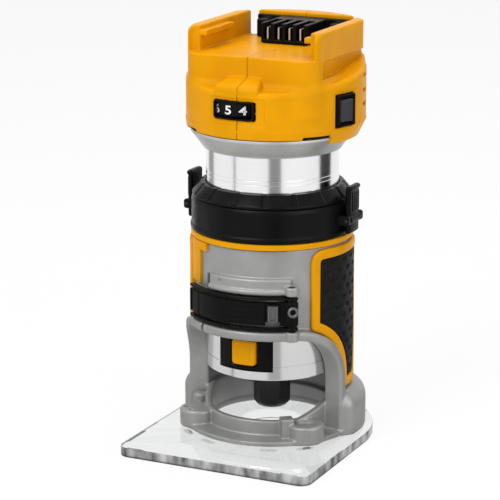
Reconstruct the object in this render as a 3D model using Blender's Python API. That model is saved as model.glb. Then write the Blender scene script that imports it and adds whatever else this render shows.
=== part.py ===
"""Cordless trim router: a motor unit that slides in a cast base on a clear plate.

Metres, +Z up, standing on the plate, front towards -Y. Every piece is drawn
about the upright motor axis and then hung from an empty that stands on it.
Angles are in degrees, from the front towards the right.
"""
import math

import bmesh
import bpy
from mathutils import Matrix, Vector

# Clearances
GAP = 0.0003
RUN_GAP = 0.0004
MERGE = 0.00002

# Round pieces: how many flats go round them, and how finely other curves are drawn
FINE = 48
MEDIUM = 24
COARSE = 12
ARC_STEPS = 8
CORNER_STEPS = 4
BACK_STEPS = 12
GRIP_COLUMNS = 8
ARC_STEP_ANGLE = 5.0
SHARP_ANGLE = 30.0

# Clear sub-base plate
PLATE_HALF_WIDTH = 0.0540
PLATE_FRONT = 0.0740
PLATE_THICKNESS = 0.0055
PLATE_CORNER = 0.0090
CUTTER_HOLE_RADIUS = 0.0165
PLATE_SCREW_CIRCLE = 0.0405
PLATE_SCREW_ANGLES = (-51.0, 51.0, 129.0, -129.0)
PLATE_SCREW_RADIUS = 0.0020
PLATE_SCREW_HEAD_RADIUS = 0.0038
PLATE_SCREW_HEAD_HEIGHT = 0.0022
PLATE_SCREW_RECESS = 0.0006

# Motor tube, which the base is bored for
TUBE_RADIUS = 0.03475
TUBE_WALL = 0.0022
TUBE_LENGTH = 0.1250
TUBE_HEIGHT = 0.0380

# Cast base: foot
FLANGE_RADIUS = 0.0460
FLANGE_THICKNESS = 0.0025
RIM_WALL = 0.0034
RIM_HEIGHT = 0.0080
RIM_RISE = 0.0070
RIM_RISE_ANGLES = (48.0, 82.0, 112.0, 140.0)
POST_ANGLE = 39.0
POST_WIDTH = 0.0048
POST_HEIGHT = 0.0095
LOBE_RADIUS = 0.0500
LOBE_CLEAR = 0.0010
LOBE_DOME_HEIGHT = 0.0110
LOBE_ANGLES = (79.0, 131.0)
BOSS_RADIUS = 0.0095
BOSS_HEIGHT = 0.0075

# Cast base: wall, window, sleeve
WINDOW_HEIGHT = 0.0537
WINDOW_HALF_ANGLE = 77.0
ARCH_RADIUS = 0.0270
SLEEVE_WALL = 0.0060
SLEEVE_HEIGHT = 0.0470
COLUMN_BULGE = 0.0044
WALL_STEP_ANGLE = 0.15
LIP_HEIGHT = 0.0040
KEYWAY_HALF_ANGLE = 14.0
KEYWAY_DEPTH = 0.0026
SLIT_ANGLE = -28.0
SLIT_WIDTH = 0.0018
SLIT_HEIGHT = 0.0310
LUG_ANGLES = (-24.0, 39.0)
LUG_DEPTH = 0.0033
LUG_HEIGHT = 0.0087

# Grips and their trims
TRIM_WIDTH = 0.0050
TRIM_THICKNESS = 0.0019
TRIM_OFFSET = 0.0080
GRIP_THICKNESS = 0.0016
GRIP_FRONT_ANGLE = 57.0
GRIP_REAR_ANGLE = 121.0
GRIP_TOP_MARGIN = 0.0036
GRIP_DROP = 0.0025
GRIP_CORNER = 0.0050

# Rings on the sleeve
RIM_BAND_HEIGHT = 0.0030
RING_PROUD = 0.0015
COLLAR_BAND_HEIGHT = 0.0175
DEPTH_RING_HEIGHT = 0.0067
DEPTH_RING_INSET = 0.0008
DEPTH_RING_RIM = 0.0016
NOTCH_COUNT = 16
NOTCH_DEPTH = 0.0009
NOTCH_SHARE = 0.16
NOTCH_START = 17.2

# Quick-release tabs
TAB_WIDTH = 0.0130
TAB_THICKNESS = 0.0021
TAB_STANDOFF = 0.0022
TAB_OVERHANG = 0.0015
TAB_HEIGHT = 0.0310
TAB_PIN_RADIUS = 0.0010
TAB_KNUCKLE_RADIUS = 0.0021
EAR_THICKNESS = 0.0025
EAR_HALF_HEIGHT = 0.0030

# Clamp
LEVER_ANGLES = (-45.0, 34.5)
LEVER_HEIGHT = 0.0180
LEVER_THICKNESS = 0.0034
LEVER_LIFT = 0.0018
LEVER_LINK_ANGLE = 4.0
HINGE_ANGLE = 38.0
HINGE_STANDOFF = 0.0038
KNUCKLE_RADIUS = 0.0033
HINGE_PIN_RADIUS = 0.0014
HINGE_EAR_RADIUS = 0.0042
HINGE_EAR_HEIGHT = 0.0045
STRAP_THICKNESS = 0.0008
STRAP_HEIGHT = 0.0100
STRAP_ANGLES = (-53.5, 31.0)
RIVET_ANGLE = -50.0
RIVET_RADIUS = 0.0012
RIVET_HEAD_RADIUS = 0.0024
RIVET_HEAD_HEIGHT = 0.0012
RIVET_LENGTH = 0.0040
NUT_ANGLE = 25.5
NUT_WIDTH = 0.0053
NUT_HEIGHT = 0.0090
NUT_DEPTH = 0.0030
NUT_MARGIN = 0.0012

# Collar between the tube and the top housing
MOTOR_COLLAR_DROP = 0.0073
MOTOR_COLLAR_HEIGHT = 0.0100
MOTOR_COLLAR_EDGE = 0.00145
MOTOR_COLLAR_FLARE = 0.0064

# Top housing: drum
DRUM_OVERHANG = 0.01225
DRUM_OFFSET = 0.0040
DRUM_WALL = 0.0020
DRUM_FRONT_HEIGHT = 0.0230
DRUM_RISE = 0.0140
DRUM_SHOULDER = 0.0030
SKIRT_DROP = 0.0040
SKIRT_ANGLE = 63.0
VENT_ANGLES = (99.0, 112.0)
VENT_HEIGHTS = (0.0127, 0.0200, 0.0285)
VENT_WIDTH = 0.0024

# Top housing: battery block
BLOCK_HALF_WIDTH = 0.0370
BLOCK_FRONT = 0.0305
BLOCK_CORNER = 0.0080
BLOCK_WALL = 0.0030
FLOOR_HEIGHT = 0.0400
FLOOR_THICKNESS = 0.0030
RAIL_WALL = 0.0062
RAIL_HEIGHT = 0.0130
RAIL_LIP = 0.0035
RAIL_LIP_HEIGHT = 0.0030
RAIL_LIP_LENGTH = 0.0340
RAIL_LIP_SETBACK = 0.0080
RAIL_LIP_DROP = 0.0025
BACK_WALL = 0.0100
UNDERCUT_DEPTH = 0.0025
UNDERCUT_HEIGHT = 0.0080
UNDERCUT_SETBACK = 0.0030

# Battery terminals
TERMINAL_HALF_WIDTH = 0.0130
TERMINAL_LENGTH = 0.0280
TERMINAL_HEIGHT = 0.0105
LINER_THICKNESS = 0.0030
LINER_MARGIN = 0.0041
BLADE_COUNT = 4
BLADE_PITCH = 0.0062
BLADE_THICKNESS = 0.0008
BLADE_LENGTH = 0.0160
BLADE_HEIGHT = 0.0060

# Screws that join the housing halves
JOIN_FRONT_SETBACK = 0.0100
JOIN_REAR_SETBACK = 0.0190
JOIN_LOW_SETBACK = 0.0110
JOIN_HIGH = 0.0300
JOIN_LOW = 0.0085
JOIN_BOSS_RADIUS = 0.0045
JOIN_SCREW_RADIUS = 0.0016
JOIN_HEAD_RADIUS = 0.0030
JOIN_HEAD_HEIGHT = 0.0024
JOIN_SEAT = 0.0090
JOIN_LENGTH = 0.0200

# Speed dial
DIAL_ANGLE = -6.3
DIAL_HEIGHT = 0.0153
DIAL_RADIUS = 0.0145
DIAL_THICKNESS = 0.0084
DIAL_RECESS = 0.0008
DIAL_WINDOW_WIDTH = 0.0193
DIAL_WINDOW_HEIGHT = 0.0096
DIAL_BORDER = 0.0010
BEZEL_PROUD = 0.0004
BEZEL_INSET = 0.0004
POT_RADIUS = 0.0075
POT_HEIGHT = 0.0066
POT_SHAFT_RADIUS = 0.0025
DIAL_ROOF = 0.0021

# Power switch
SWITCH_ANGLE = 74.0
SWITCH_CENTRE = 0.0130
SWITCH_WIDTH = 0.0140
SWITCH_HEIGHT = 0.0164
SWITCH_PROUD = 0.0005
SWITCH_DEPTH = 0.0036
ROCKER_WIDTH = 0.0086
ROCKER_HEIGHT = 0.0114
ROCKER_PROUD = 0.0009
ROCKER_DEPTH = 0.0027
ROCKER_TILT = 8.0
ROCKER_PIVOT_DEPTH = 0.0023
ROCKER_MARGIN = 0.0007
SWITCH_BODY_LENGTH = 0.0120

# Control board
BOARD_HALF_WIDTH = 0.0220
BOARD_FRONT = 0.0330
BOARD_BACK = 0.0340
BOARD_THICKNESS = 0.0016

# Spindle lock
LOCK_HALF_ANGLE = 26.0
LOCK_OFFSET = 0.0046
LOCK_HEIGHT = 0.0198
LOCK_BEZEL_DEPTH = 0.0032
BUTTON_HALF_WIDTH = 0.0067
BUTTON_HEIGHT = 0.0134
BUTTON_PROUD = 0.0014
BUTTON_DEPTH = 0.0030
STEM_HALF_WIDTH = 0.0025
STEM_HEIGHT = 0.0046
STEM_GUIDE_REACH = 0.0045
GUIDE_FRONT = 0.0195
GUIDE_THICKNESS = 0.0030
GUIDE_HALF_WIDTH = 0.0060
GUIDE_TOP_WALL = 0.0040
SPRING_WIRE_RADIUS = 0.00045
SPRING_RADIUS = 0.0043
SPRING_TURNS = 5
SPRING_POINTS = 8
SPRING_FLATS = 5

# Spindle, collet and bearings
SPINDLE_RADIUS = 0.0040
NOSE_RADIUS = 0.0077
NOSE_BORE_RADIUS = 0.0063
NOSE_BORE_DEPTH = 0.0140
LOCK_COLLAR_RADIUS = 0.0074
COLLET_BORE_RADIUS = 0.0040
COLLET_NOSE_RADIUS = 0.0049
COLLET_LENGTH = 0.0165
COLLET_NUT_RADIUS = 0.0098
COLLET_NUT_DROP = 0.0235
COLLET_NUT_LENGTH = 0.0215
COLLET_NUT_LIP = 0.0025
COLLET_NUT_ROUND = 0.0020
BEARING_WIDTH = 0.0068
LOWER_BEARING_RADIUS = 0.0107
UPPER_BEARING_RADIUS = 0.0092
END_CAP_THICKNESS = 0.0040
HUB_WALL = 0.0029
SEAT_THICKNESS = 0.0036
UPPER_BEARING_DROP = 0.0130
BRACKET_THICKNESS = 0.0040
SPINDLE_TAIL = 0.0020

# Electric motor
STATOR_LENGTH = 0.0300
STATOR_BORE_RADIUS = 0.0150
ROTOR_AIR_GAP = 0.0008
COIL_HEIGHT = 0.0060
COIL_INNER_RADIUS = 0.0170
COIL_OUTER_RADIUS = 0.0290
FAN_DROP = 0.0290
FAN_RADIUS = 0.0280
FAN_HUB_RADIUS = 0.0080
FAN_HEIGHT = 0.0090
FAN_BLADES = 9
FAN_BLADE_THICKNESS = 0.0016

# Heights and radii that follow from the sizes above
AXIS_Y = (PLATE_FRONT - PLATE_HALF_WIDTH) / 2
FOOT_BOTTOM = PLATE_THICKNESS + GAP
FLANGE_TOP = FOOT_BOTTOM + FLANGE_THICKNESS
WINDOW_TOP = FLANGE_TOP + WINDOW_HEIGHT
SLEEVE_TOP = WINDOW_TOP + SLEEVE_HEIGHT
BORE_RADIUS = TUBE_RADIUS + RUN_GAP
SLEEVE_RADIUS = BORE_RADIUS + SLEEVE_WALL
COLUMN_RADIUS = SLEEVE_RADIUS + COLUMN_BULGE
RIM_OUTER = BORE_RADIUS + RUN_GAP
RIM_INNER = RIM_OUTER - RIM_WALL
ARCH_SPRING = WINDOW_TOP - ARCH_RADIUS
ARCH_CENTRE = math.radians(WINDOW_HALF_ANGLE) * SLEEVE_RADIUS - ARCH_RADIUS
TRIM_ARC = ARCH_RADIUS + TRIM_OFFSET
TRIM_FOOT = ARCH_SPRING - GRIP_DROP - TRIM_WIDTH / 2
LOBE_TOP = TRIM_FOOT - LOBE_CLEAR
LEVER_BOTTOM = WINDOW_TOP + LIP_HEIGHT + LEVER_LIFT
LEVER_TOP = LEVER_BOTTOM + LEVER_HEIGHT
LEVER_MIDDLE = (LEVER_BOTTOM + LEVER_TOP) / 2
LUG_BOTTOM = LEVER_TOP + RUN_GAP
STRAP_INNER = SLEEVE_RADIUS + GAP
STRAP_OUTER = STRAP_INNER + STRAP_THICKNESS
LEVER_INNER = STRAP_OUTER + GAP
LEVER_OUTER = LEVER_INNER + LEVER_THICKNESS
HINGE_RADIUS = SLEEVE_RADIUS + HINGE_STANDOFF
RIM_BAND_BOTTOM = SLEEVE_TOP + GAP
RIM_BAND_TOP = RIM_BAND_BOTTOM + RIM_BAND_HEIGHT
COLLAR_BAND_BOTTOM = RIM_BAND_TOP + GAP
COLLAR_BAND_TOP = COLLAR_BAND_BOTTOM + COLLAR_BAND_HEIGHT
COLLAR_BAND_RADIUS = SLEEVE_RADIUS + RING_PROUD
DEPTH_RING_BOTTOM = COLLAR_BAND_TOP + GAP
DEPTH_RING_TOP = DEPTH_RING_BOTTOM + DEPTH_RING_HEIGHT
TAB_INNER = COLLAR_BAND_RADIUS + TAB_STANDOFF
TAB_PIN_X = TAB_INNER + TAB_THICKNESS / 2
TAB_PIN_Z = (COLLAR_BAND_BOTTOM + COLLAR_BAND_TOP) / 2
TUBE_BORE = TUBE_RADIUS - TUBE_WALL
INNER_FIT = TUBE_BORE - GAP
TUBE_TOP = TUBE_HEIGHT + TUBE_LENGTH
MOTOR_COLLAR_BOTTOM = TUBE_TOP - MOTOR_COLLAR_DROP
MOTOR_COLLAR_TOP = MOTOR_COLLAR_BOTTOM + MOTOR_COLLAR_HEIGHT
MOTOR_COLLAR_LOWER_RADIUS = TUBE_RADIUS + MOTOR_COLLAR_EDGE
MOTOR_COLLAR_UPPER_RADIUS = MOTOR_COLLAR_LOWER_RADIUS + MOTOR_COLLAR_FLARE
DRUM_RADIUS = TUBE_RADIUS + DRUM_OVERHANG
DRUM_BOTTOM = MOTOR_COLLAR_TOP + GAP
DRUM_FRONT_TOP = DRUM_BOTTOM + DRUM_FRONT_HEIGHT
DRUM_BORE = DRUM_RADIUS - DRUM_WALL
FLOOR = DRUM_BOTTOM + FLOOR_HEIGHT
RAIL_TOP = FLOOR + RAIL_HEIGHT
SLOT_HALF_WIDTH = BLOCK_HALF_WIDTH - RAIL_WALL
DRUM_BACK = DRUM_OFFSET + DRUM_RADIUS
SLOT_BACK = DRUM_BACK - BACK_WALL
JOIN_POINTS = (
    (JOIN_FRONT_SETBACK - BLOCK_FRONT, DRUM_BOTTOM + JOIN_HIGH),
    (DRUM_BACK - JOIN_REAR_SETBACK, DRUM_BOTTOM + JOIN_HIGH),
    (DRUM_BACK - JOIN_LOW_SETBACK, DRUM_BOTTOM + JOIN_LOW),
)
LOCK_BOTTOM = TUBE_HEIGHT + LOCK_OFFSET
LOCK_TOP = LOCK_BOTTOM + LOCK_HEIGHT
LOCK_MIDDLE = (LOCK_BOTTOM + LOCK_TOP) / 2
END_CAP_TOP = TUBE_HEIGHT + END_CAP_THICKNESS
BEARING_BOTTOM = END_CAP_TOP + GAP
BEARING_TOP = BEARING_BOTTOM + BEARING_WIDTH
SHAFT_FIT = SPINDLE_RADIUS + GAP
UPPER_BEARING_BOTTOM = TUBE_TOP - UPPER_BEARING_DROP
UPPER_BEARING_TOP = UPPER_BEARING_BOTTOM + BEARING_WIDTH
FAN_BOTTOM = TUBE_TOP - FAN_DROP
STATOR_BOTTOM = (BEARING_TOP + FAN_BOTTOM - STATOR_LENGTH) / 2
STATOR_TOP = STATOR_BOTTOM + STATOR_LENGTH
COLLET_NUT_BOTTOM = TUBE_HEIGHT - COLLET_NUT_DROP
NOSE_BOTTOM = COLLET_NUT_BOTTOM + COLLET_NUT_LIP + GAP

# Colours: base colour, roughness, metallic
FINISHES = {
    "clear_acrylic": ((0.86, 0.90, 0.90), 0.08, 0.0),
    "cast_aluminium": ((0.42, 0.42, 0.43), 0.45, 0.8),
    "polished_aluminium": ((0.80, 0.80, 0.81), 0.18, 1.0),
    "yellow_plastic": ((0.90, 0.47, 0.01), 0.35, 0.0),
    "black_plastic": ((0.015, 0.015, 0.016), 0.42, 0.0),
    "black_rubber": ((0.02, 0.02, 0.02), 0.75, 0.0),
    "steel": ((0.55, 0.55, 0.56), 0.30, 1.0),
    "blackened_steel": ((0.03, 0.03, 0.03), 0.40, 0.7),
    "copper": ((0.60, 0.28, 0.14), 0.35, 1.0),
    "circuit_board": ((0.02, 0.16, 0.06), 0.50, 0.0),
}


def clear_scene():
    """Remove whatever the file held before."""
    for item in list(bpy.data.objects):
        bpy.data.objects.remove(item, do_unlink=True)


def finish(name):
    """The named finish, made on first use."""
    material = bpy.data.materials.get(name)
    if material is None:
        colour, roughness, metallic = FINISHES[name]
        material = bpy.data.materials.new(name)
        material.use_nodes = True
        shader = material.node_tree.nodes["Principled BSDF"]
        shader.inputs["Base Color"].default_value = (*colour, 1.0)
        shader.inputs["Roughness"].default_value = roughness
        shader.inputs["Metallic"].default_value = metallic
    return material


def polar(radius, degrees, height):
    """The point at a radius, an angle from the front towards the right, and a height."""
    angle = math.radians(degrees)
    return Vector((radius * math.sin(angle), -radius * math.cos(angle), height))


def drum_centre():
    """The drum's own axis stands a little behind the motor's."""
    return Vector((0.0, DRUM_OFFSET, 0.0))


def drum_frame(degrees, height):
    """A frame on the drum's axis whose X points out of the drum at an angle."""
    turn = Matrix.Rotation(math.radians(degrees - 90.0), 4, "Z")
    return Matrix.Translation(drum_centre() + Vector((0.0, 0.0, height))) @ turn


def steps_between(start, end, count):
    """Evenly spread values from start to end, both included."""
    return [start + (end - start) * i / count for i in range(count + 1)]


def new_object(name, bm):
    """Close a mesh up, point its faces outwards and give it an object."""
    bmesh.ops.remove_doubles(bm, verts=bm.verts, dist=MERGE)
    bmesh.ops.recalc_face_normals(bm, faces=bm.faces)
    mesh = bpy.data.meshes.new(name)
    bm.to_mesh(mesh)
    bm.free()
    item = bpy.data.objects.new(name, mesh)
    bpy.context.collection.objects.link(item)
    return item


def loft(name, loops, closed):
    """Skin a row of like loops of points; the row closes on itself or is capped."""
    bm = bmesh.new()
    rows = [[bm.verts.new(point) for point in loop] for loop in loops]
    size = len(rows[0])
    last = len(rows) if closed else len(rows) - 1
    for i in range(last):
        lower = rows[i]
        upper = rows[(i + 1) % len(rows)]
        for j in range(size):
            k = (j + 1) % size
            bm.faces.new((lower[j], lower[k], upper[k], upper[j]))
    if not closed:
        bm.faces.new(list(reversed(rows[0])))
        bm.faces.new(rows[-1])
    return new_object(name, bm)


def ring(name, outline, flats=FINE):
    """Turn a closed outline of (radius, height) points once about the axis."""
    loops = []
    for i in range(flats):
        loops.append([polar(radius, 360.0 * i / flats, height) for radius, height in outline])
    return loft(name, loops, closed=True)


def shaft(name, outline, flats=MEDIUM):
    """A solid round piece whose (radius, height) points run up its outer side."""
    loops = []
    for radius, height in outline:
        loops.append([polar(radius, 360.0 * i / flats, height) for i in range(flats)])
    return loft(name, loops, closed=False)


def arc_block(name, outline, start, end, step=ARC_STEP_ANGLE, centre=Vector()):
    """Carry a closed outline of (radius, height) points round part of a circle."""
    count = max(2, math.ceil((end - start) / step))
    loops = []
    for degrees in steps_between(start, end, count):
        loops.append([centre + polar(radius, degrees, height) for radius, height in outline])
    return loft(name, loops, closed=False)


def box_outline(inner, outer, bottom, top):
    """A rectangle of (radius, height) points."""
    return [(inner, bottom), (outer, bottom), (outer, top), (inner, top)]


def slab(name, outline, bottom, top):
    """A flat outline of (x, y) points raised between two heights."""
    loops = [[Vector((x, y, height)) for x, y in outline] for height in (bottom, top)]
    return loft(name, loops, closed=False)


def block(name, low, high, frame=Matrix.Identity(4)):
    """A box between two corners, in its own frame."""
    outline = [(low[0], low[1]), (high[0], low[1]), (high[0], high[1]), (low[0], high[1])]
    loops = []
    for height in (low[2], high[2]):
        loops.append([frame @ Vector((x, y, height)) for x, y in outline])
    return loft(name, loops, closed=False)


def rod(name, start, end, radius, flats=COARSE):
    """A round bar from one point to another."""
    start = Vector(start)
    run = Vector(end) - start
    across = run.orthogonal().normalized()
    beside = run.normalized().cross(across)
    circle = []
    for i in range(flats):
        angle = 2 * math.pi * i / flats
        circle.append(radius * (math.cos(angle) * across + math.sin(angle) * beside))
    loops = [[end_point + spoke for spoke in circle] for end_point in (start, start + run)]
    return loft(name, loops, closed=False)


def combine(target, tool, operation):
    """Join the tool to the target, cut it away or keep what they share."""
    modifier = target.modifiers.new(operation.lower(), "BOOLEAN")
    modifier.operation = operation
    modifier.solver = "EXACT"
    modifier.object = tool
    graph = bpy.context.evaluated_depsgraph_get()
    result = bpy.data.meshes.new_from_object(target.evaluated_get(graph))
    target.modifiers.clear()
    target.data = result
    bpy.data.objects.remove(tool, do_unlink=True)
    bm = bmesh.new()
    bm.from_mesh(result)
    bmesh.ops.remove_doubles(bm, verts=bm.verts, dist=MERGE)
    bmesh.ops.dissolve_degenerate(bm, edges=bm.edges, dist=MERGE)
    bm.to_mesh(result)
    bm.free()
    return target


def cut(target, *tools):
    """Take every tool's shape out of the target."""
    for tool in tools:
        combine(target, tool, "DIFFERENCE")
    return target


def weld(target, *tools):
    """Make one body of the target and every tool."""
    for tool in tools:
        combine(target, tool, "UNION")
    return target


def dress(item, material, parent, pivot=None):
    """Give a piece its finish and hang it from the axis, or from an empty on its own pivot."""
    item.data.materials.clear()
    item.data.materials.append(finish(material))
    item.data.shade_smooth()
    item.data.set_sharp_from_angle(angle=math.radians(SHARP_ANGLE))
    if pivot is not None:
        hinge = bpy.data.objects.new(item.name + "_pivot", None)
        bpy.context.collection.objects.link(hinge)
        hinge.parent = parent
        hinge.location = pivot
        item.data.transform(Matrix.Translation(-Vector(pivot)))
        parent = hinge
    item.parent = parent
    return item


# Base


def plate_outline():
    """Round at the back, straight at the sides, with a square front and rounded corners."""
    points = []
    for degrees in steps_between(90.0, 270.0, FINE // 2):
        point = polar(PLATE_HALF_WIDTH, degrees, 0.0)
        points.append((point.x, point.y))
    for side, start in ((-1, 270.0), (1, 0.0)):
        for degrees in steps_between(start, start + 90.0, CORNER_STEPS):
            point = polar(PLATE_CORNER, degrees, 0.0)
            centre_x = side * (PLATE_HALF_WIDTH - PLATE_CORNER)
            points.append((centre_x + point.x, PLATE_CORNER - PLATE_FRONT + point.y))
    return points


def plate_screw_points():
    """Where the sub-base is screwed to the foot."""
    return [polar(PLATE_SCREW_CIRCLE, degrees, 0.0) for degrees in PLATE_SCREW_ANGLES]


def upright_rod(name, point, bottom, top, radius, flats=COARSE):
    """A round bar standing at a point."""
    return rod(name, (point.x, point.y, bottom), (point.x, point.y, top), radius, flats)


def make_sub_base(axis):
    """The clear plate, bored for the cutter and counterbored for its screws."""
    plate = slab("sub_base", plate_outline(), 0.0, PLATE_THICKNESS)
    cut(plate, upright_rod("hole", Vector(), -GAP, PLATE_THICKNESS + GAP, CUTTER_HOLE_RADIUS, FINE))
    seat = PLATE_SCREW_RECESS + PLATE_SCREW_HEAD_HEIGHT + GAP
    for point in plate_screw_points():
        cut(plate, upright_rod("seat", point, -GAP, seat, PLATE_SCREW_HEAD_RADIUS + GAP))
        cut(plate, upright_rod("hole", point, 0.0, PLATE_THICKNESS + GAP, PLATE_SCREW_RADIUS + GAP))
    dress(plate, "clear_acrylic", axis)
    head_top = PLATE_SCREW_RECESS + PLATE_SCREW_HEAD_HEIGHT
    for number, point in enumerate(plate_screw_points(), start=1):
        outline = [(PLATE_SCREW_HEAD_RADIUS, PLATE_SCREW_RECESS), (PLATE_SCREW_HEAD_RADIUS, head_top),
                   (PLATE_SCREW_RADIUS, head_top), (PLATE_SCREW_RADIUS, FLANGE_TOP - GAP)]
        screw = shaft(f"sub_base_screw_{number}", outline, COARSE)
        screw.data.transform(Matrix.Translation(point))
        dress(screw, "steel", axis)


def rim_top(degrees):
    """The foot's rim is low at the front and back and higher under the columns."""
    start, full, fall, end = RIM_RISE_ANGLES
    side = abs(degrees)
    share = min(max((side - start) / (full - start), 0.0), 1.0)
    if side > fall:
        share = min(max((end - side) / (end - fall), 0.0), 1.0)
    return FLANGE_TOP + RIM_HEIGHT + RIM_RISE * share


def wall_bottom(degrees):
    """Lower edge of the base wall: the front window has round upper corners."""
    if abs(degrees) > WINDOW_HALF_ANGLE:
        return (FOOT_BOTTOM + FLANGE_TOP) / 2
    across = math.radians(abs(degrees)) * SLEEVE_RADIUS - ARCH_CENTRE
    if across <= 0.0:
        return WINDOW_TOP
    return ARCH_SPRING + math.sqrt(max(ARCH_RADIUS ** 2 - across ** 2, 0.0))


def bulge_top(degrees):
    """How high the thick lower wall reaches, clear of the grip trims."""
    reach = TRIM_ARC - TRIM_WIDTH / 2 - GAP
    across = math.radians(abs(degrees)) * SLEEVE_RADIUS - ARCH_CENTRE
    lowest = LOBE_TOP - GAP
    if across >= reach:
        return lowest
    lip = WINDOW_TOP + LIP_HEIGHT
    if across <= 0.0:
        return lip
    return min(lip, ARCH_SPRING + math.sqrt(reach ** 2 - across ** 2) - GAP)


def wall_angles():
    """Where the wall has an upright row of points: evenly, and close at each edge."""
    angles = steps_between(-180.0, 180.0, FINE)[:-1]
    marks = []
    bulge_end = math.degrees((ARCH_CENTRE + TRIM_ARC - TRIM_WIDTH / 2 - GAP) / SLEEVE_RADIUS)
    arch_start = math.degrees(ARCH_CENTRE / SLEEVE_RADIUS)
    for side in (-1, 1):
        marks += [side * WINDOW_HALF_ANGLE, side * KEYWAY_HALF_ANGLE, side * bulge_end]
        for i in range(ARC_STEPS):
            share = math.sin(math.pi / 2 * i / ARC_STEPS)
            angles.append(side * (arch_start + (WINDOW_HALF_ANGLE - arch_start) * share))
    kept = [a for a in angles if all(abs(a - mark) > 4 * WALL_STEP_ANGLE for mark in marks)]
    for mark in marks:
        kept += [mark - WALL_STEP_ANGLE, mark + WALL_STEP_ANGLE]
    return sorted(kept)


def make_wall():
    """The base wall as a ring of upright loops, bored for the motor tube."""
    loops = []
    for degrees in wall_angles():
        bottom = wall_bottom(degrees)
        shelf = max(bulge_top(degrees), bottom + GAP)
        inner = BORE_RADIUS + (KEYWAY_DEPTH if abs(degrees) < KEYWAY_HALF_ANGLE else 0.0)
        outline = [(inner, bottom), (COLUMN_RADIUS, bottom), (COLUMN_RADIUS, shelf),
                   (SLEEVE_RADIUS, shelf + GAP), (SLEEVE_RADIUS, SLEEVE_TOP), (inner, SLEEVE_TOP)]
        loops.append([polar(radius, degrees, height) for radius, height in outline])
    return loft("base_casting", loops, closed=True)


def make_foot():
    """The foot: a flat flange with a rim that stands round the opening."""
    loops = []
    for degrees in steps_between(-180.0, 180.0, FINE)[:-1]:
        top = rim_top(degrees)
        outline = [(RIM_INNER, FOOT_BOTTOM), (FLANGE_RADIUS, FOOT_BOTTOM), (FLANGE_RADIUS, FLANGE_TOP),
                   (RIM_OUTER, FLANGE_TOP), (RIM_OUTER, top), (RIM_INNER, top)]
        loops.append([polar(radius, degrees, height) for radius, height in outline])
    return loft("foot", loops, closed=True)


def make_lobe(side):
    """The domed shoulder at the foot of a column, full in the middle and run out at both ends."""
    root = SLEEVE_RADIUS - SLEEVE_WALL / 2
    low = FOOT_BOTTOM + FLANGE_THICKNESS / 4
    spring = LOBE_TOP - LOBE_DOME_HEIGHT
    least = COLUMN_RADIUS - GAP
    loops = []
    for share in steps_between(-1.0, 1.0, 2 * ARC_STEPS):
        first, last = sorted(side * degrees for degrees in LOBE_ANGLES)
        degrees = (first + last) / 2 + math.sin(share * math.pi / 2) * (last - first) / 2
        dome = (LOBE_RADIUS - least) * math.cos(share * math.pi / 2)
        outline = [(root, low), (least + dome, low)]
        for angle in steps_between(0.0, math.pi / 2, CORNER_STEPS):
            outline.append((least + dome * math.cos(angle), spring + LOBE_DOME_HEIGHT * math.sin(angle)))
        outline.append((root, LOBE_TOP))
        loops.append([polar(radius, degrees, height) for radius, height in outline])
    return loft("lobe", loops, closed=False)


def make_base_casting(axis):
    """Foot, wall, shoulders, clamp lug and hinge ears in one casting."""
    casting = make_wall()
    post_radius = (RIM_INNER + RIM_OUTER) / 2
    post_frame = Matrix.Rotation(math.radians(POST_ANGLE - 90.0), 4, "Z")
    half_post = POST_WIDTH / 2
    post = block("post", (post_radius - half_post, -half_post, FOOT_BOTTOM + FLANGE_THICKNESS / 3),
                 (post_radius + half_post, half_post, FLANGE_TOP + POST_HEIGHT), post_frame)
    boss_foot = FOOT_BOTTOM + FLANGE_THICKNESS / 5
    boss_top = FLANGE_TOP + BOSS_HEIGHT
    bosses = [upright_rod("boss", point, boss_foot, boss_top, BOSS_RADIUS, MEDIUM)
              for point in plate_screw_points()[:2]]
    lug_root = SLEEVE_RADIUS - SLEEVE_WALL / 3
    lug_face = SLEEVE_RADIUS + LUG_DEPTH
    lug = arc_block("lug", box_outline(lug_root, lug_face, LUG_BOTTOM, LUG_BOTTOM + LUG_HEIGHT), *LUG_ANGLES)
    weld(casting, make_foot(), make_lobe(1), make_lobe(-1), post, *bosses, lug)
    hinge = polar(HINGE_RADIUS, HINGE_ANGLE, 0.0)
    ear_foot = WINDOW_TOP + GAP
    upper_ear = LUG_BOTTOM + GAP
    ears = ((ear_foot, LEVER_BOTTOM - RUN_GAP), (upper_ear, upper_ear + HINGE_EAR_HEIGHT))
    for bottom, top in ears:
        weld(casting, upright_rod("ear", hinge, bottom, top, HINGE_EAR_RADIUS))
    pin_hole = upright_rod("hole", hinge, ear_foot + LIP_HEIGHT / 3, SLEEVE_TOP, HINGE_PIN_RADIUS + GAP)
    half_slit = math.degrees(SLIT_WIDTH / 2 / SLEEVE_RADIUS)
    slit = arc_block("slit", box_outline(BORE_RADIUS - SLEEVE_WALL, SLEEVE_RADIUS + SLEEVE_WALL,
                                         WINDOW_TOP - SLIT_WIDTH, WINDOW_TOP + SLIT_HEIGHT),
                     SLIT_ANGLE - half_slit, SLIT_ANGLE + half_slit)
    cut(casting, pin_hole, slit)
    for point in plate_screw_points():
        cut(casting, upright_rod("hole", point, 0.0, FLANGE_TOP + GAP, PLATE_SCREW_RADIUS + GAP))
    rivet_hole = rod("hole", polar(SLEEVE_RADIUS - RIVET_LENGTH - GAP, RIVET_ANGLE, LEVER_MIDDLE),
                     polar(COLUMN_RADIUS, RIVET_ANGLE, LEVER_MIDDLE), RIVET_RADIUS + GAP)
    cut(casting, rivet_hole)
    dress(casting, "cast_aluminium", axis)


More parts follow.
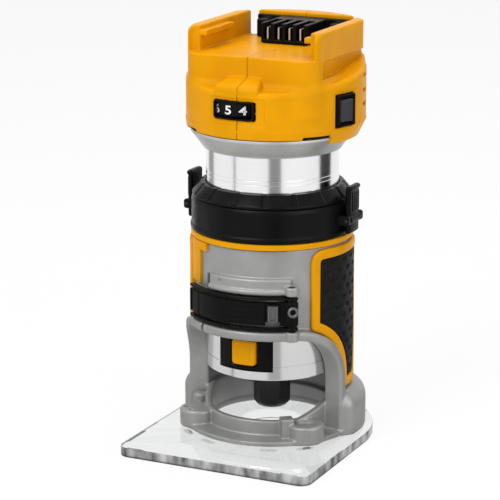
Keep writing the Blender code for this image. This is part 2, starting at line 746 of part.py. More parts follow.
def grip_rows(inset):
    """Rows of (height, front edge, rear edge) up the grip, along the sleeve, moved in by an inset.

    The front edge follows an arc about the window's arch and then runs straight up.
    """
    arc = TRIM_ARC + inset
    front = math.radians(GRIP_FRONT_ANGLE) * SLEEVE_RADIUS + inset
    rear = math.radians(GRIP_REAR_ANGLE) * SLEEVE_RADIUS - inset
    low = ARCH_SPRING - GRIP_DROP + inset
    high = SLEEVE_TOP - GRIP_TOP_MARGIN - inset
    corner = max(GRIP_CORNER - inset, GAP)
    first = math.asin(max(low + GAP - ARCH_SPRING, 0.0) / arc)
    last = math.acos((front - ARCH_CENTRE) / arc)
    rows = [(low, ARCH_CENTRE + arc * math.cos(first), rear)]
    for angle in steps_between(first, last, ARC_STEPS):
        rows.append((ARCH_SPRING + arc * math.sin(angle), ARCH_CENTRE + arc * math.cos(angle), rear))
    rows.append(((rows[-1][0] + high - corner) / 2, front, rear))
    for angle in steps_between(0.0, math.pi / 2, CORNER_STEPS):
        drawn_in = corner * (1.0 - math.cos(angle))
        rows.append((high - corner + corner * math.sin(angle), front + drawn_in, rear - drawn_in))
    return rows


def on_sleeve(side, along, height, radius):
    """A point of the unrolled sleeve, wrapped at a radius on one side."""
    return polar(radius, side * math.degrees(along / SLEEVE_RADIUS), height)


def make_grip(name, side, axis):
    """The rubber pad inside its trim."""
    inner = SLEEVE_RADIUS + GAP
    outer = inner + GRIP_THICKNESS
    loops = []
    for height, front, rear in grip_rows(TRIM_WIDTH / 2 + GAP):
        across = steps_between(front, rear, GRIP_COLUMNS)
        loop = [on_sleeve(side, along, height, outer) for along in across]
        loop += [on_sleeve(side, along, height, inner) for along in reversed(across)]
        loops.append(loop)
    dress(loft(name, loops, closed=False), "black_rubber", axis)


def trim_path(inset):
    """The trim's way round the grip: up the front, over the top, down the rear and back."""
    rows = grip_rows(inset)
    path = [(front, height) for height, front, _ in rows]
    top = rows[-1]
    path += [(along, top[0]) for along in steps_between(top[1], top[2], GRIP_COLUMNS)[1:-1]]
    path += [(rear, height) for height, _, rear in reversed(rows)]
    low = rows[0]
    path += [(along, low[0]) for along in steps_between(low[2], low[1], GRIP_COLUMNS)[1:-1]]
    return path


def make_trim(name, side, axis):
    """The yellow border of a grip, a flat strip carried round it."""
    inner = SLEEVE_RADIUS + GAP
    outer = inner + TRIM_THICKNESS
    outside = trim_path(-TRIM_WIDTH / 2)
    inside = trim_path(TRIM_WIDTH / 2)
    loops = []
    for (along_out, height_out), (along_in, height_in) in zip(outside, inside):
        loops.append([on_sleeve(side, along_out, height_out, inner),
                      on_sleeve(side, along_out, height_out, outer),
                      on_sleeve(side, along_in, height_in, outer),
                      on_sleeve(side, along_in, height_in, inner)])
    dress(loft(name, loops, closed=True), "yellow_plastic", axis)


def make_sleeve_rings(axis):
    """The rim band, the fixed collar with its tab ears, and the notched depth ring."""
    band = box_outline(BORE_RADIUS, COLLAR_BAND_RADIUS, RIM_BAND_BOTTOM, RIM_BAND_TOP)
    dress(ring("rim_band", band), "yellow_plastic", axis)
    collar_band = box_outline(BORE_RADIUS, COLLAR_BAND_RADIUS, COLLAR_BAND_BOTTOM, COLLAR_BAND_TOP)
    collar = ring("ring_collar", collar_band)
    inside = BORE_RADIUS + SLEEVE_WALL / 3
    outside = TAB_PIN_X + TAB_KNUCKLE_RADIUS
    near = TAB_WIDTH / 2 + GAP
    for side in (-1, 1):
        pin_middle = Vector((side * TAB_PIN_X, 0.0, TAB_PIN_Z))
        hole_end = Vector((0.0, near + EAR_THICKNESS + GAP, 0.0))
        for end in (-1, 1):
            xs = sorted((side * inside, side * outside))
            ys = sorted((end * near, end * (near + EAR_THICKNESS)))
            ear = block("ear", (xs[0], ys[0], TAB_PIN_Z - EAR_HALF_HEIGHT),
                        (xs[1], ys[1], TAB_PIN_Z + EAR_HALF_HEIGHT))
            cut(ear, rod("hole", pin_middle - hole_end, pin_middle + hole_end, TAB_PIN_RADIUS + GAP))
            weld(collar, ear)
    dress(collar, "black_plastic", axis)
    make_depth_ring(axis)


def make_depth_ring(axis):
    """The depth ring: a bevelled ring whose slope is notched for the fingers."""
    wide = COLLAR_BAND_RADIUS - DEPTH_RING_INSET
    narrow = BORE_RADIUS + DEPTH_RING_RIM
    pitch = 360.0 / NOTCH_COUNT
    loops = []
    for i in range(NOTCH_COUNT):
        start = NOTCH_START + i * pitch
        floor = start + pitch * NOTCH_SHARE
        steps = [(start, NOTCH_DEPTH), (floor, NOTCH_DEPTH)]
        land = (floor + WALL_STEP_ANGLE, start + pitch - WALL_STEP_ANGLE)
        steps += [(degrees, 0.0) for degrees in steps_between(*land, 2)]
        for degrees, depth in steps:
            outline = [(BORE_RADIUS, DEPTH_RING_BOTTOM), (wide - depth, DEPTH_RING_BOTTOM),
                       (narrow - depth, DEPTH_RING_TOP), (BORE_RADIUS, DEPTH_RING_TOP)]
            loops.append([polar(radius, degrees, height) for radius, height in outline])
    dress(loft("depth_ring", loops, closed=True), "black_plastic", axis)


def make_tabs(axis):
    """The two quick-release tabs, each on a pin between the collar's ears."""
    bottom = RIM_BAND_BOTTOM - TAB_OVERHANG
    half = TAB_WIDTH / 2
    for name, side in (("left", -1), ("right", 1)):
        xs = sorted((side * TAB_INNER, side * (TAB_INNER + TAB_THICKNESS)))
        tab = block("tab_" + name, (xs[0], -half, bottom), (xs[1], half, bottom + TAB_HEIGHT))
        pivot = Vector((side * TAB_PIN_X, 0.0, TAB_PIN_Z))
        reach = Vector((0.0, half, 0.0))
        weld(tab, rod("knuckle", pivot - reach, pivot + reach, TAB_KNUCKLE_RADIUS))
        past = Vector((0.0, half + GAP, 0.0))
        cut(tab, rod("hole", pivot - past, pivot + past, TAB_PIN_RADIUS + GAP))
        dress(tab, "black_plastic", axis, pivot)
        end = Vector((0.0, half + GAP + EAR_THICKNESS, 0.0))
        dress(rod("tab_pin_" + name, pivot - end, pivot + end, TAB_PIN_RADIUS), "steel", axis)


def make_clamp(axis):
    """The lever on its hinge pin, and the strap that it draws tight round the slit."""
    hinge = polar(HINGE_RADIUS, HINGE_ANGLE, 0.0)
    blade = box_outline(LEVER_INNER, LEVER_OUTER, LEVER_BOTTOM, LEVER_TOP)
    lever = arc_block("clamp_lever", blade, *LEVER_ANGLES)
    knuckle = upright_rod("knuckle", hinge, LEVER_BOTTOM + GAP, LEVER_TOP - GAP, KNUCKLE_RADIUS)
    bridge_start = polar((LEVER_INNER + LEVER_OUTER) / 2, LEVER_ANGLES[1] - LEVER_LINK_ANGLE, 0.0)
    bridge = hinge - bridge_start
    turn = Matrix.Rotation(math.atan2(bridge.y, bridge.x), 4, "Z")
    half_bridge = LEVER_THICKNESS / 2 - GAP
    link = block("link", (0.0, -half_bridge, LEVER_BOTTOM + 2 * GAP),
                 (bridge.length, half_bridge, LEVER_TOP - 2 * GAP), Matrix.Translation(bridge_start) @ turn)
    weld(lever, knuckle, link)
    half_nut = math.degrees(NUT_WIDTH / 2 / LEVER_OUTER)
    margin = math.degrees(NUT_MARGIN / LEVER_OUTER)
    window = arc_block("window", box_outline(SLEEVE_RADIUS, LEVER_OUTER + LEVER_THICKNESS,
                                             LEVER_MIDDLE - NUT_HEIGHT / 2 - NUT_MARGIN,
                                             LEVER_MIDDLE + NUT_HEIGHT / 2 + NUT_MARGIN),
                       NUT_ANGLE - half_nut - margin, NUT_ANGLE + half_nut + margin)
    pin_hole = upright_rod("hole", hinge, WINDOW_TOP, SLEEVE_TOP, HINGE_PIN_RADIUS + GAP)
    cut(lever, window, pin_hole)
    dress(lever, "black_plastic", axis, hinge)
    pin = upright_rod("lever_pin", hinge, WINDOW_TOP + LIP_HEIGHT / 2,
                      LUG_BOTTOM + GAP + HINGE_EAR_HEIGHT, HINGE_PIN_RADIUS)
    dress(pin, "steel", axis)
    strap = arc_block("clamp_strap", box_outline(STRAP_INNER, STRAP_OUTER, LEVER_MIDDLE - STRAP_HEIGHT / 2,
                                                 LEVER_MIDDLE + STRAP_HEIGHT / 2), *STRAP_ANGLES)
    cut(strap, rod("hole", polar(BORE_RADIUS, RIVET_ANGLE, LEVER_MIDDLE),
                   polar(LEVER_OUTER, RIVET_ANGLE, LEVER_MIDDLE), RIVET_RADIUS + GAP))
    dress(strap, "blackened_steel", axis)
    head = STRAP_OUTER + GAP
    rivet = rod("strap_rivet", polar(SLEEVE_RADIUS - RIVET_LENGTH, RIVET_ANGLE, LEVER_MIDDLE),
                polar(head + RIVET_HEAD_HEIGHT / 2, RIVET_ANGLE, LEVER_MIDDLE), RIVET_RADIUS)
    weld(rivet, rod("head", polar(head, RIVET_ANGLE, LEVER_MIDDLE),
                    polar(head + RIVET_HEAD_HEIGHT, RIVET_ANGLE, LEVER_MIDDLE), RIVET_HEAD_RADIUS))
    dress(rivet, "steel", axis)
    nut = arc_block("clamp_nut", box_outline(STRAP_OUTER + GAP, STRAP_OUTER + GAP + NUT_DEPTH,
                                             LEVER_MIDDLE - NUT_HEIGHT / 2, LEVER_MIDDLE + NUT_HEIGHT / 2),
                    NUT_ANGLE - half_nut, NUT_ANGLE + half_nut)
    dress(nut, "steel", axis)


# Motor


def make_tube(axis):
    """The polished motor tube, the grey collar on it and the window for the spindle lock."""
    tube = ring("motor_tube", box_outline(TUBE_BORE, TUBE_RADIUS, TUBE_HEIGHT, TUBE_TOP))
    through = box_outline(TUBE_BORE - TUBE_WALL, TUBE_RADIUS + TUBE_WALL, LOCK_BOTTOM, LOCK_TOP)
    cut(tube, arc_block("window", through, -LOCK_HALF_ANGLE, LOCK_HALF_ANGLE))
    dress(tube, "polished_aluminium", axis)
    inner = TUBE_RADIUS + GAP
    outline = [(inner, MOTOR_COLLAR_BOTTOM), (MOTOR_COLLAR_LOWER_RADIUS, MOTOR_COLLAR_BOTTOM),
               (MOTOR_COLLAR_UPPER_RADIUS, MOTOR_COLLAR_TOP), (inner, MOTOR_COLLAR_TOP)]
    dress(ring("motor_collar", outline), "cast_aluminium", axis)


def make_spindle_lock(axis):
    """The lock's bezel in the tube, its button and spring, and the end cap that guides the button."""
    edge = math.degrees(GAP / TUBE_RADIUS)
    inner = TUBE_RADIUS - LOCK_BEZEL_DEPTH
    bezel = arc_block("lock_bezel", box_outline(inner, TUBE_RADIUS, LOCK_BOTTOM + GAP, LOCK_TOP - GAP),
                      -LOCK_HALF_ANGLE + edge, LOCK_HALF_ANGLE - edge)
    half = BUTTON_HALF_WIDTH + RUN_GAP
    low = LOCK_MIDDLE - BUTTON_HEIGHT / 2
    high = LOCK_MIDDLE + BUTTON_HEIGHT / 2
    cut(bezel, block("hole", (-half, -TUBE_RADIUS - TUBE_WALL, low - RUN_GAP), (half, 0.0, high + RUN_GAP)))
    dress(bezel, "black_plastic", axis)

    face = TUBE_RADIUS + BUTTON_PROUD
    back = face - BUTTON_DEPTH - BUTTON_PROUD
    spread = math.degrees(math.asin(BUTTON_HALF_WIDTH / face))
    button = arc_block("lock_button", box_outline(back, face, low, high), -spread, spread, step=4.0)
    stem_low = LOCK_MIDDLE - STEM_HEIGHT / 2
    stem_high = LOCK_MIDDLE + STEM_HEIGHT / 2
    stem_tip = GUIDE_FRONT - GUIDE_THICKNESS - STEM_GUIDE_REACH
    weld(button, block("stem", (-STEM_HALF_WIDTH, -back - BUTTON_DEPTH / 2, stem_low),
                       (STEM_HALF_WIDTH, -stem_tip, stem_high)))
    dress(button, "yellow_plastic", axis)

    spring_front = back * math.cos(math.radians(spread)) - SPRING_WIRE_RADIUS - GAP
    spring_back = GUIDE_FRONT + SPRING_WIRE_RADIUS + GAP
    dress(coil("lock_spring", spring_front, spring_back), "steel", axis)

    hub = LOWER_BEARING_RADIUS + GAP
    nose = NOSE_RADIUS + RUN_GAP
    seat = END_CAP_TOP - SEAT_THICKNESS
    outline = [(nose, seat), (INNER_FIT, seat), (INNER_FIT, END_CAP_TOP), (hub + HUB_WALL, END_CAP_TOP),
               (hub + HUB_WALL, BEARING_TOP), (hub, BEARING_TOP), (hub, END_CAP_TOP), (nose, END_CAP_TOP)]
    cap = ring("lower_end_cap", outline, MEDIUM)
    guide = block("guide", (-GUIDE_HALF_WIDTH, -GUIDE_FRONT, END_CAP_TOP - SEAT_THICKNESS / 2),
                  (GUIDE_HALF_WIDTH, GUIDE_THICKNESS - GUIDE_FRONT, stem_high + GUIDE_TOP_WALL))
    weld(cap, guide)
    slide = STEM_HALF_WIDTH + RUN_GAP
    cut(cap, block("slot", (-slide, -TUBE_RADIUS, stem_low - RUN_GAP),
                   (slide, -hub - HUB_WALL, stem_high + RUN_GAP)))
    dress(cap, "cast_aluminium", axis)


def coil(name, front, back):
    """The lock spring: one wire wound round the button's stem."""
    count = SPRING_TURNS * SPRING_POINTS
    loops = []
    for i in range(count + 1):
        angle = 2 * math.pi * i / SPRING_POINTS
        along = -front + (front - back) * i / count
        spoke = Vector((math.cos(angle), 0.0, math.sin(angle)))
        middle = SPRING_RADIUS * spoke + Vector((0.0, along, LOCK_MIDDLE))
        loop = []
        for j in range(SPRING_FLATS):
            turn = 2 * math.pi * j / SPRING_FLATS
            rise = Vector((0.0, SPRING_WIRE_RADIUS * math.sin(turn), 0.0))
            loop.append(middle + SPRING_WIRE_RADIUS * math.cos(turn) * spoke + rise)
        loops.append(loop)
    return loft(name, loops, closed=False)


def make_spindle(axis):
    """The spindle with its nose, collet and nut, and everything else that spins with it."""
    collar_low = LOCK_MIDDLE - STEM_HEIGHT / 2 - GAP
    collar_high = LOCK_MIDDLE + STEM_HEIGHT / 2 + GAP
    tail = UPPER_BEARING_TOP + SPINDLE_TAIL
    spindle = shaft("spindle", [(NOSE_RADIUS, NOSE_BOTTOM), (NOSE_RADIUS, END_CAP_TOP),
                                (SPINDLE_RADIUS, END_CAP_TOP), (SPINDLE_RADIUS, collar_low),
                                (LOCK_COLLAR_RADIUS, collar_low), (LOCK_COLLAR_RADIUS, collar_high),
                                (SPINDLE_RADIUS, collar_high), (SPINDLE_RADIUS, tail)])
    bore_top = NOSE_BOTTOM + NOSE_BORE_DEPTH
    cut(spindle, upright_rod("bore", Vector(), NOSE_BOTTOM - GAP, bore_top, NOSE_BORE_RADIUS, MEDIUM))
    dress(spindle, "steel", axis)

    collet_top = COLLET_NUT_BOTTOM + COLLET_LENGTH
    fit = NOSE_BORE_RADIUS - GAP
    outline = [(COLLET_BORE_RADIUS, COLLET_NUT_BOTTOM + GAP), (COLLET_NOSE_RADIUS, COLLET_NUT_BOTTOM + GAP),
               (COLLET_NOSE_RADIUS, NOSE_BOTTOM), (fit, NOSE_BOTTOM), (fit, collet_top),
               (COLLET_BORE_RADIUS, collet_top)]
    dress(ring("collet", outline, MEDIUM), "steel", axis)

    thread = NOSE_RADIUS + GAP
    mouth = COLLET_NOSE_RADIUS + GAP
    nut_top = COLLET_NUT_BOTTOM + COLLET_NUT_LENGTH
    lip_top = COLLET_NUT_BOTTOM + COLLET_NUT_LIP
    outline = [(mouth, COLLET_NUT_BOTTOM), (COLLET_NUT_RADIUS - COLLET_NUT_ROUND, COLLET_NUT_BOTTOM),
               (COLLET_NUT_RADIUS, COLLET_NUT_BOTTOM + COLLET_NUT_ROUND), (COLLET_NUT_RADIUS, nut_top),
               (thread, nut_top), (thread, lip_top), (mouth, lip_top)]
    dress(ring("collet_nut", outline, MEDIUM), "blackened_steel", axis)

    rotor = box_outline(SHAFT_FIT, STATOR_BORE_RADIUS - ROTOR_AIR_GAP, STATOR_BOTTOM, STATOR_TOP)
    dress(ring("rotor", rotor, MEDIUM), "blackened_steel", axis)
    dress(make_fan(), "black_plastic", axis)


def make_fan():
    """The cooling fan: straight blades on a hub."""
    pitch = 360.0 / FAN_BLADES
    half_root = math.degrees(FAN_BLADE_THICKNESS / 2 / FAN_HUB_RADIUS)
    half_tip = math.degrees(FAN_BLADE_THICKNESS / 2 / FAN_RADIUS)
    outline = []
    for i in range(FAN_BLADES):
        middle = i * pitch
        corners = ((FAN_HUB_RADIUS, -half_root), (FAN_RADIUS, -half_tip), (FAN_RADIUS, half_tip),
                   (FAN_HUB_RADIUS, half_root), (FAN_HUB_RADIUS, pitch / 2))
        for radius, turn in corners:
            point = polar(radius, middle + turn, 0.0)
            outline.append((point.x, point.y))
    top = FAN_BOTTOM + FAN_HEIGHT
    fan = slab("fan", outline, FAN_BOTTOM, top)
    return cut(fan, upright_rod("bore", Vector(), FAN_BOTTOM - GAP, top + GAP, SHAFT_FIT))


def make_motor_inside(axis):
    """Stator, coils, bearings and the bracket that holds the upper bearing."""
    stator = box_outline(STATOR_BORE_RADIUS, INNER_FIT, STATOR_BOTTOM, STATOR_TOP)
    dress(ring("stator", stator, MEDIUM), "blackened_steel", axis)
    for name, low in (("lower", STATOR_BOTTOM - GAP - COIL_HEIGHT), ("upper", STATOR_TOP + GAP)):
        outline = box_outline(COIL_INNER_RADIUS, COIL_OUTER_RADIUS, low, low + COIL_HEIGHT)
        dress(ring("stator_coil_" + name, outline, MEDIUM), "copper", axis)
    lower = box_outline(SHAFT_FIT, LOWER_BEARING_RADIUS, BEARING_BOTTOM, BEARING_TOP)
    dress(ring("lower_bearing", lower, MEDIUM), "steel", axis)
    upper = box_outline(SHAFT_FIT, UPPER_BEARING_RADIUS, UPPER_BEARING_BOTTOM, UPPER_BEARING_TOP)
    dress(ring("upper_bearing", upper, MEDIUM), "steel", axis)
    seat = UPPER_BEARING_RADIUS + GAP
    plate_top = UPPER_BEARING_BOTTOM + BRACKET_THICKNESS
    outline = [(seat, UPPER_BEARING_BOTTOM), (INNER_FIT, UPPER_BEARING_BOTTOM), (INNER_FIT, plate_top),
               (seat + HUB_WALL, plate_top), (seat + HUB_WALL, UPPER_BEARING_TOP), (seat, UPPER_BEARING_TOP)]
    dress(ring("bearing_bracket", outline, MEDIUM), "black_plastic", axis)


# Top housing


def drum_top(y):
    """The drum's roof slopes up from its front to its back."""
    front = DRUM_OFFSET - DRUM_RADIUS
    return DRUM_FRONT_TOP + DRUM_RISE * (y - front) / (2 * DRUM_RADIUS)


def drum_loop(radius, drop=None, height=None):
    """A circle about the drum's axis, level or a drop below the sloping roof."""
    loop = []
    for i in range(FINE):
        point = drum_centre() + polar(radius, 360.0 * i / FINE, 0.0)
        point.z = height if drop is None else drum_top(point.y) - drop
        loop.append(point)
    return loop


def block_outline(half_width, front, corner, radius):
    """The battery block from above: rounded front corners and the drum's own curve behind."""
    points = []
    for side, start in ((-1, 270.0), (1, 0.0)):
        for degrees in steps_between(start, start + 90.0, CORNER_STEPS):
            point = polar(corner, degrees, 0.0)
            points.append((side * (half_width - corner) + point.x, corner - front + point.y))
    widest = 90.0 + math.degrees(math.acos(half_width / radius))
    for degrees in steps_between(widest, 360.0 - widest, BACK_STEPS):
        point = drum_centre() + polar(radius, degrees, 0.0)
        points.append((point.x, point.y))
    return points


def make_housing_shell():
    """The whole top housing before it is split: drum, battery block, slot, rails and openings."""
    skirt = DRUM_BOTTOM - SKIRT_DROP
    shell = loft("shell", [drum_loop(DRUM_RADIUS, height=skirt), drum_loop(DRUM_RADIUS, drop=DRUM_SHOULDER),
                           drum_loop(DRUM_RADIUS - DRUM_SHOULDER, drop=0.0)], closed=False)
    block_low = DRUM_FRONT_TOP - 2 * DRUM_SHOULDER
    outline = block_outline(BLOCK_HALF_WIDTH, BLOCK_FRONT, BLOCK_CORNER, DRUM_RADIUS - GAP)
    weld(shell, slab("block", outline, block_low, RAIL_TOP))
    cavity = loft("cavity", [drum_loop(DRUM_BORE, height=skirt - GAP),
                             drum_loop(DRUM_BORE, drop=2 * DRUM_SHOULDER),
                             drum_loop(DRUM_BORE - DRUM_SHOULDER, drop=DRUM_SHOULDER)], closed=False)
    room = block_outline(BLOCK_HALF_WIDTH - UNDERCUT_DEPTH - DRUM_WALL, BLOCK_FRONT - BLOCK_WALL,
                         BLOCK_CORNER - BLOCK_WALL, DRUM_RADIUS - BLOCK_WALL)
    weld(cavity, slab("room", room, DRUM_BOTTOM + DRUM_WALL, FLOOR - FLOOR_THICKNESS))
    cut(shell, cavity)
    notch = arc_block("notch", box_outline(DRUM_BORE - 4 * DRUM_WALL, DRUM_RADIUS + DRUM_WALL,
                                           skirt - 2 * GAP, DRUM_BOTTOM),
                      -SKIRT_ANGLE, SKIRT_ANGLE, centre=drum_centre())
    slot = block("slot", (-SLOT_HALF_WIDTH, -2 * BLOCK_FRONT, FLOOR),
                 (SLOT_HALF_WIDTH, SLOT_BACK, 2 * RAIL_TOP))
    cut(shell, notch, slot)
    for side in (-1, 1):
        xs = sorted((side * (SLOT_HALF_WIDTH - RAIL_LIP), side * (SLOT_HALF_WIDTH + RAIL_WALL / 2)))
        front = RAIL_LIP_SETBACK - BLOCK_FRONT
        lip_top = RAIL_TOP - RAIL_LIP_DROP
        weld(shell, block("lip", (xs[0], front, lip_top - RAIL_LIP_HEIGHT),
                          (xs[1], front + RAIL_LIP_LENGTH, lip_top)))
        xs = sorted((side * (BLOCK_HALF_WIDTH - UNDERCUT_DEPTH), side * 2 * BLOCK_HALF_WIDTH))
        near = UNDERCUT_SETBACK + BLOCK_CORNER - BLOCK_FRONT
        low = drum_top(near) + DRUM_SHOULDER
        cut(shell, block("undercut", (xs[0], near, low), (xs[1], DRUM_BACK, low + UNDERCUT_HEIGHT)))
    return shell


def cut_openings(shell):
    """Openings for the dial's frame, the switch's frame and the vents."""
    wide = math.degrees((DIAL_WINDOW_WIDTH / 2 + DIAL_BORDER + GAP) / DRUM_RADIUS)
    middle = DRUM_BOTTOM + DIAL_HEIGHT
    tall = DIAL_WINDOW_HEIGHT / 2 + DIAL_BORDER + GAP
    through = (DRUM_BORE - DRUM_WALL, DRUM_RADIUS + 2 * DRUM_WALL)
    cut(shell, arc_block("hole", box_outline(*through, middle - tall, middle + tall),
                         DIAL_ANGLE - wide, DIAL_ANGLE + wide, centre=drum_centre()))
    half = SWITCH_WIDTH / 2 + GAP
    up = SWITCH_HEIGHT / 2 + GAP
    frame = drum_frame(SWITCH_ANGLE, DRUM_BOTTOM + SWITCH_CENTRE)
    cut(shell, block("hole", (DRUM_RADIUS - 2 * SWITCH_DEPTH, -half, -up),
                     (DRUM_RADIUS + DRUM_WALL, half, up), frame))
    for side in (-1, 1):
        start, end = sorted(side * degrees for degrees in VENT_ANGLES)
        for height in VENT_HEIGHTS:
            low = DRUM_BOTTOM + height - VENT_WIDTH / 2
            cut(shell, arc_block("vent", box_outline(*through, low, low + VENT_WIDTH), start, end,
                                 centre=drum_centre()))


def add_join_bosses(shell):
    """Tubes across the housing that take the screws joining its halves."""
    for y, z in JOIN_POINTS:
        in_block = z > drum_top(y) - DRUM_SHOULDER
        depth = abs(y - DRUM_OFFSET)
        if in_block:
            depth = max(y - DRUM_OFFSET, 0.0)
        half = math.sqrt((DRUM_RADIUS - DRUM_WALL / 2) ** 2 - (depth + JOIN_BOSS_RADIUS) ** 2)
        if in_block:
            half = min(half, BLOCK_HALF_WIDTH - UNDERCUT_DEPTH - DRUM_WALL / 2)
        far = BLOCK_HALF_WIDTH + DRUM_RADIUS
        weld(shell, rod("boss", (-half, y, z), (half, y, z), JOIN_BOSS_RADIUS))
        cut(shell, rod("well", (-far, y, z), (-JOIN_SEAT, y, z), JOIN_HEAD_RADIUS + GAP))
        cut(shell, rod("hole", (-JOIN_SEAT - GAP, y, z), (JOIN_LENGTH - JOIN_SEAT + GAP, y, z),
                       JOIN_SCREW_RADIUS + GAP))


def make_housing(axis):
    """The two halves of the top housing and the screws between them."""
    shell = make_housing_shell()
    cut_openings(shell)
    add_join_bosses(shell)
    far = 2 * DRUM_RADIUS
    for name, low, high in (("top_housing_left", -far, -GAP / 2), ("top_housing_right", GAP / 2, far)):
        half = bpy.data.objects.new(name, shell.data.copy())
        bpy.context.collection.objects.link(half)
        combine(half, block("side", (low, -far, 0.0), (high, far, 2 * RAIL_TOP)), "INTERSECT")
        dress(half, "yellow_plastic", axis)
    bpy.data.objects.remove(shell, do_unlink=True)
    for number, (y, z) in enumerate(JOIN_POINTS, start=1):
        seat = -JOIN_SEAT - GAP
        screw = rod(f"housing_screw_{number}", (seat - JOIN_HEAD_HEIGHT / 2, y, z),
                    (JOIN_LENGTH - JOIN_SEAT, y, z), JOIN_SCREW_RADIUS)
        weld(screw, rod("head", (seat - JOIN_HEAD_HEIGHT, y, z), (seat, y, z), JOIN_HEAD_RADIUS))
        dress(screw, "steel", axis)


def make_terminals(axis):
    """The battery terminal block at the back of the slot, and its blades."""
    low = FLOOR + GAP
    back = SLOT_BACK - GAP
    front = back - TERMINAL_LENGTH
    high = low + TERMINAL_HEIGHT
    terminal = block("terminal_block", (-TERMINAL_HALF_WIDTH, front, low), (TERMINAL_HALF_WIDTH, back, high))
    liner = SLOT_HALF_WIDTH - LINER_MARGIN
    weld(terminal, block("liner", (-liner, back - LINER_THICKNESS, low + GAP),
                         (liner, back + GAP / 3, high + GAP)))
    middle = (low + high) / 2
    for i in range(BLADE_COUNT):
        x = (i - (BLADE_COUNT - 1) / 2) * BLADE_PITCH
        half = BLADE_THICKNESS / 2
        room = half + 2 * BLADE_THICKNESS
        deep = front + BLADE_LENGTH
        cut(terminal, block("slot", (x - room, front - GAP, middle - BLADE_HEIGHT / 2 - GAP),
                            (x + room, deep, 2 * high)))
        blade = block(f"terminal_blade_{i + 1}",
                      (x - half, front + BLADE_THICKNESS, middle - BLADE_HEIGHT / 2),
                      (x + half, deep - GAP, middle + BLADE_HEIGHT / 2))
        dress(blade, "steel", axis)
    dress(terminal, "black_plastic", axis)


def make_control(axis):
    """The control board on the motor collar, and the dial with its potentiometer and window frame."""
    board_bottom = MOTOR_COLLAR_TOP + GAP
    board_top = board_bottom + BOARD_THICKNESS
    board = block("control_board", (-BOARD_HALF_WIDTH, -BOARD_FRONT, board_bottom),
                  (BOARD_HALF_WIDTH, BOARD_BACK, board_top))
    dress(board, "circuit_board", axis)

    reach = DRUM_RADIUS - DIAL_RECESS - DIAL_RADIUS
    centre = drum_centre() + polar(reach, DIAL_ANGLE, 0.0)
    middle = DRUM_BOTTOM + DIAL_HEIGHT
    low = middle - DIAL_THICKNESS / 2
    high = middle + DIAL_THICKNESS / 2
    dial = upright_rod("speed_dial", centre, low, high, DIAL_RADIUS, MEDIUM)
    cut(dial, upright_rod("bore", centre, low - GAP, high - DIAL_ROOF, POT_SHAFT_RADIUS + GAP))
    dress(dial, "black_plastic", axis, centre + Vector((0.0, 0.0, middle)))
    pot_low = board_top + GAP
    pot_high = pot_low + POT_HEIGHT
    outline = [(POT_RADIUS, pot_low), (POT_RADIUS, pot_high), (POT_SHAFT_RADIUS, pot_high),
               (POT_SHAFT_RADIUS, high - DIAL_ROOF - GAP)]
    pot = shaft("dial_potentiometer", outline, COARSE)
    pot.data.transform(Matrix.Translation(centre))
    dress(pot, "black_plastic", axis)

    outer_wide = math.degrees((DIAL_WINDOW_WIDTH / 2 + DIAL_BORDER) / DRUM_RADIUS)
    inner_wide = math.degrees(DIAL_WINDOW_WIDTH / 2 / DRUM_RADIUS)
    outer_tall = DIAL_WINDOW_HEIGHT / 2 + DIAL_BORDER
    inner_tall = DIAL_WINDOW_HEIGHT / 2
    low_radius = DRUM_BORE + BEZEL_INSET
    frame = arc_block("dial_bezel", box_outline(low_radius, DRUM_RADIUS + BEZEL_PROUD,
                                                middle - outer_tall, middle + outer_tall),
                      DIAL_ANGLE - outer_wide, DIAL_ANGLE + outer_wide, centre=drum_centre())
    cut(frame, arc_block("hole", box_outline(low_radius - DRUM_WALL, DRUM_RADIUS + DRUM_WALL,
                                             middle - inner_tall, middle + inner_tall),
                         DIAL_ANGLE - inner_wide, DIAL_ANGLE + inner_wide, centre=drum_centre()))
    dress(frame, "black_plastic", axis)


def make_switch(axis):
    """The power switch: frame, rocker that tips about an upright axis, and the switch behind it."""
    frame = drum_frame(SWITCH_ANGLE, DRUM_BOTTOM + SWITCH_CENTRE)
    half = SWITCH_WIDTH / 2
    up = SWITCH_HEIGHT / 2
    back = DRUM_RADIUS - SWITCH_DEPTH
    bezel = block("switch_bezel", (back, -half, -up), (DRUM_RADIUS + SWITCH_PROUD, half, up), frame)
    room_y = ROCKER_WIDTH / 2 + ROCKER_MARGIN
    room_z = ROCKER_HEIGHT / 2 + RUN_GAP
    cut(bezel, block("hole", (back - SWITCH_DEPTH, -room_y, -room_z),
                     (DRUM_RADIUS + SWITCH_DEPTH, room_y, room_z), frame))
    dress(bezel, "black_plastic", axis)

    front = DRUM_RADIUS + ROCKER_PROUD
    pivot_out = front - ROCKER_PIVOT_DEPTH
    tip = Matrix.Translation((pivot_out, 0.0, 0.0)) @ Matrix.Rotation(math.radians(-ROCKER_TILT), 4, "Z")
    local = frame @ tip
    rocker_back = DRUM_RADIUS - ROCKER_DEPTH - pivot_out
    rocker = block("switch_rocker", (rocker_back, -ROCKER_WIDTH / 2, -ROCKER_HEIGHT / 2),
                   (front - pivot_out, ROCKER_WIDTH / 2, ROCKER_HEIGHT / 2), local)
    pivot = frame @ Vector((pivot_out, 0.0, 0.0))
    dress(rocker, "black_plastic", axis, pivot)

    body = block("switch_body", (back - GAP - SWITCH_BODY_LENGTH, -half + SWITCH_PROUD, -up + SWITCH_PROUD),
                 (back - GAP, half - SWITCH_PROUD, up - SWITCH_PROUD), frame)
    dress(body, "black_plastic", axis)


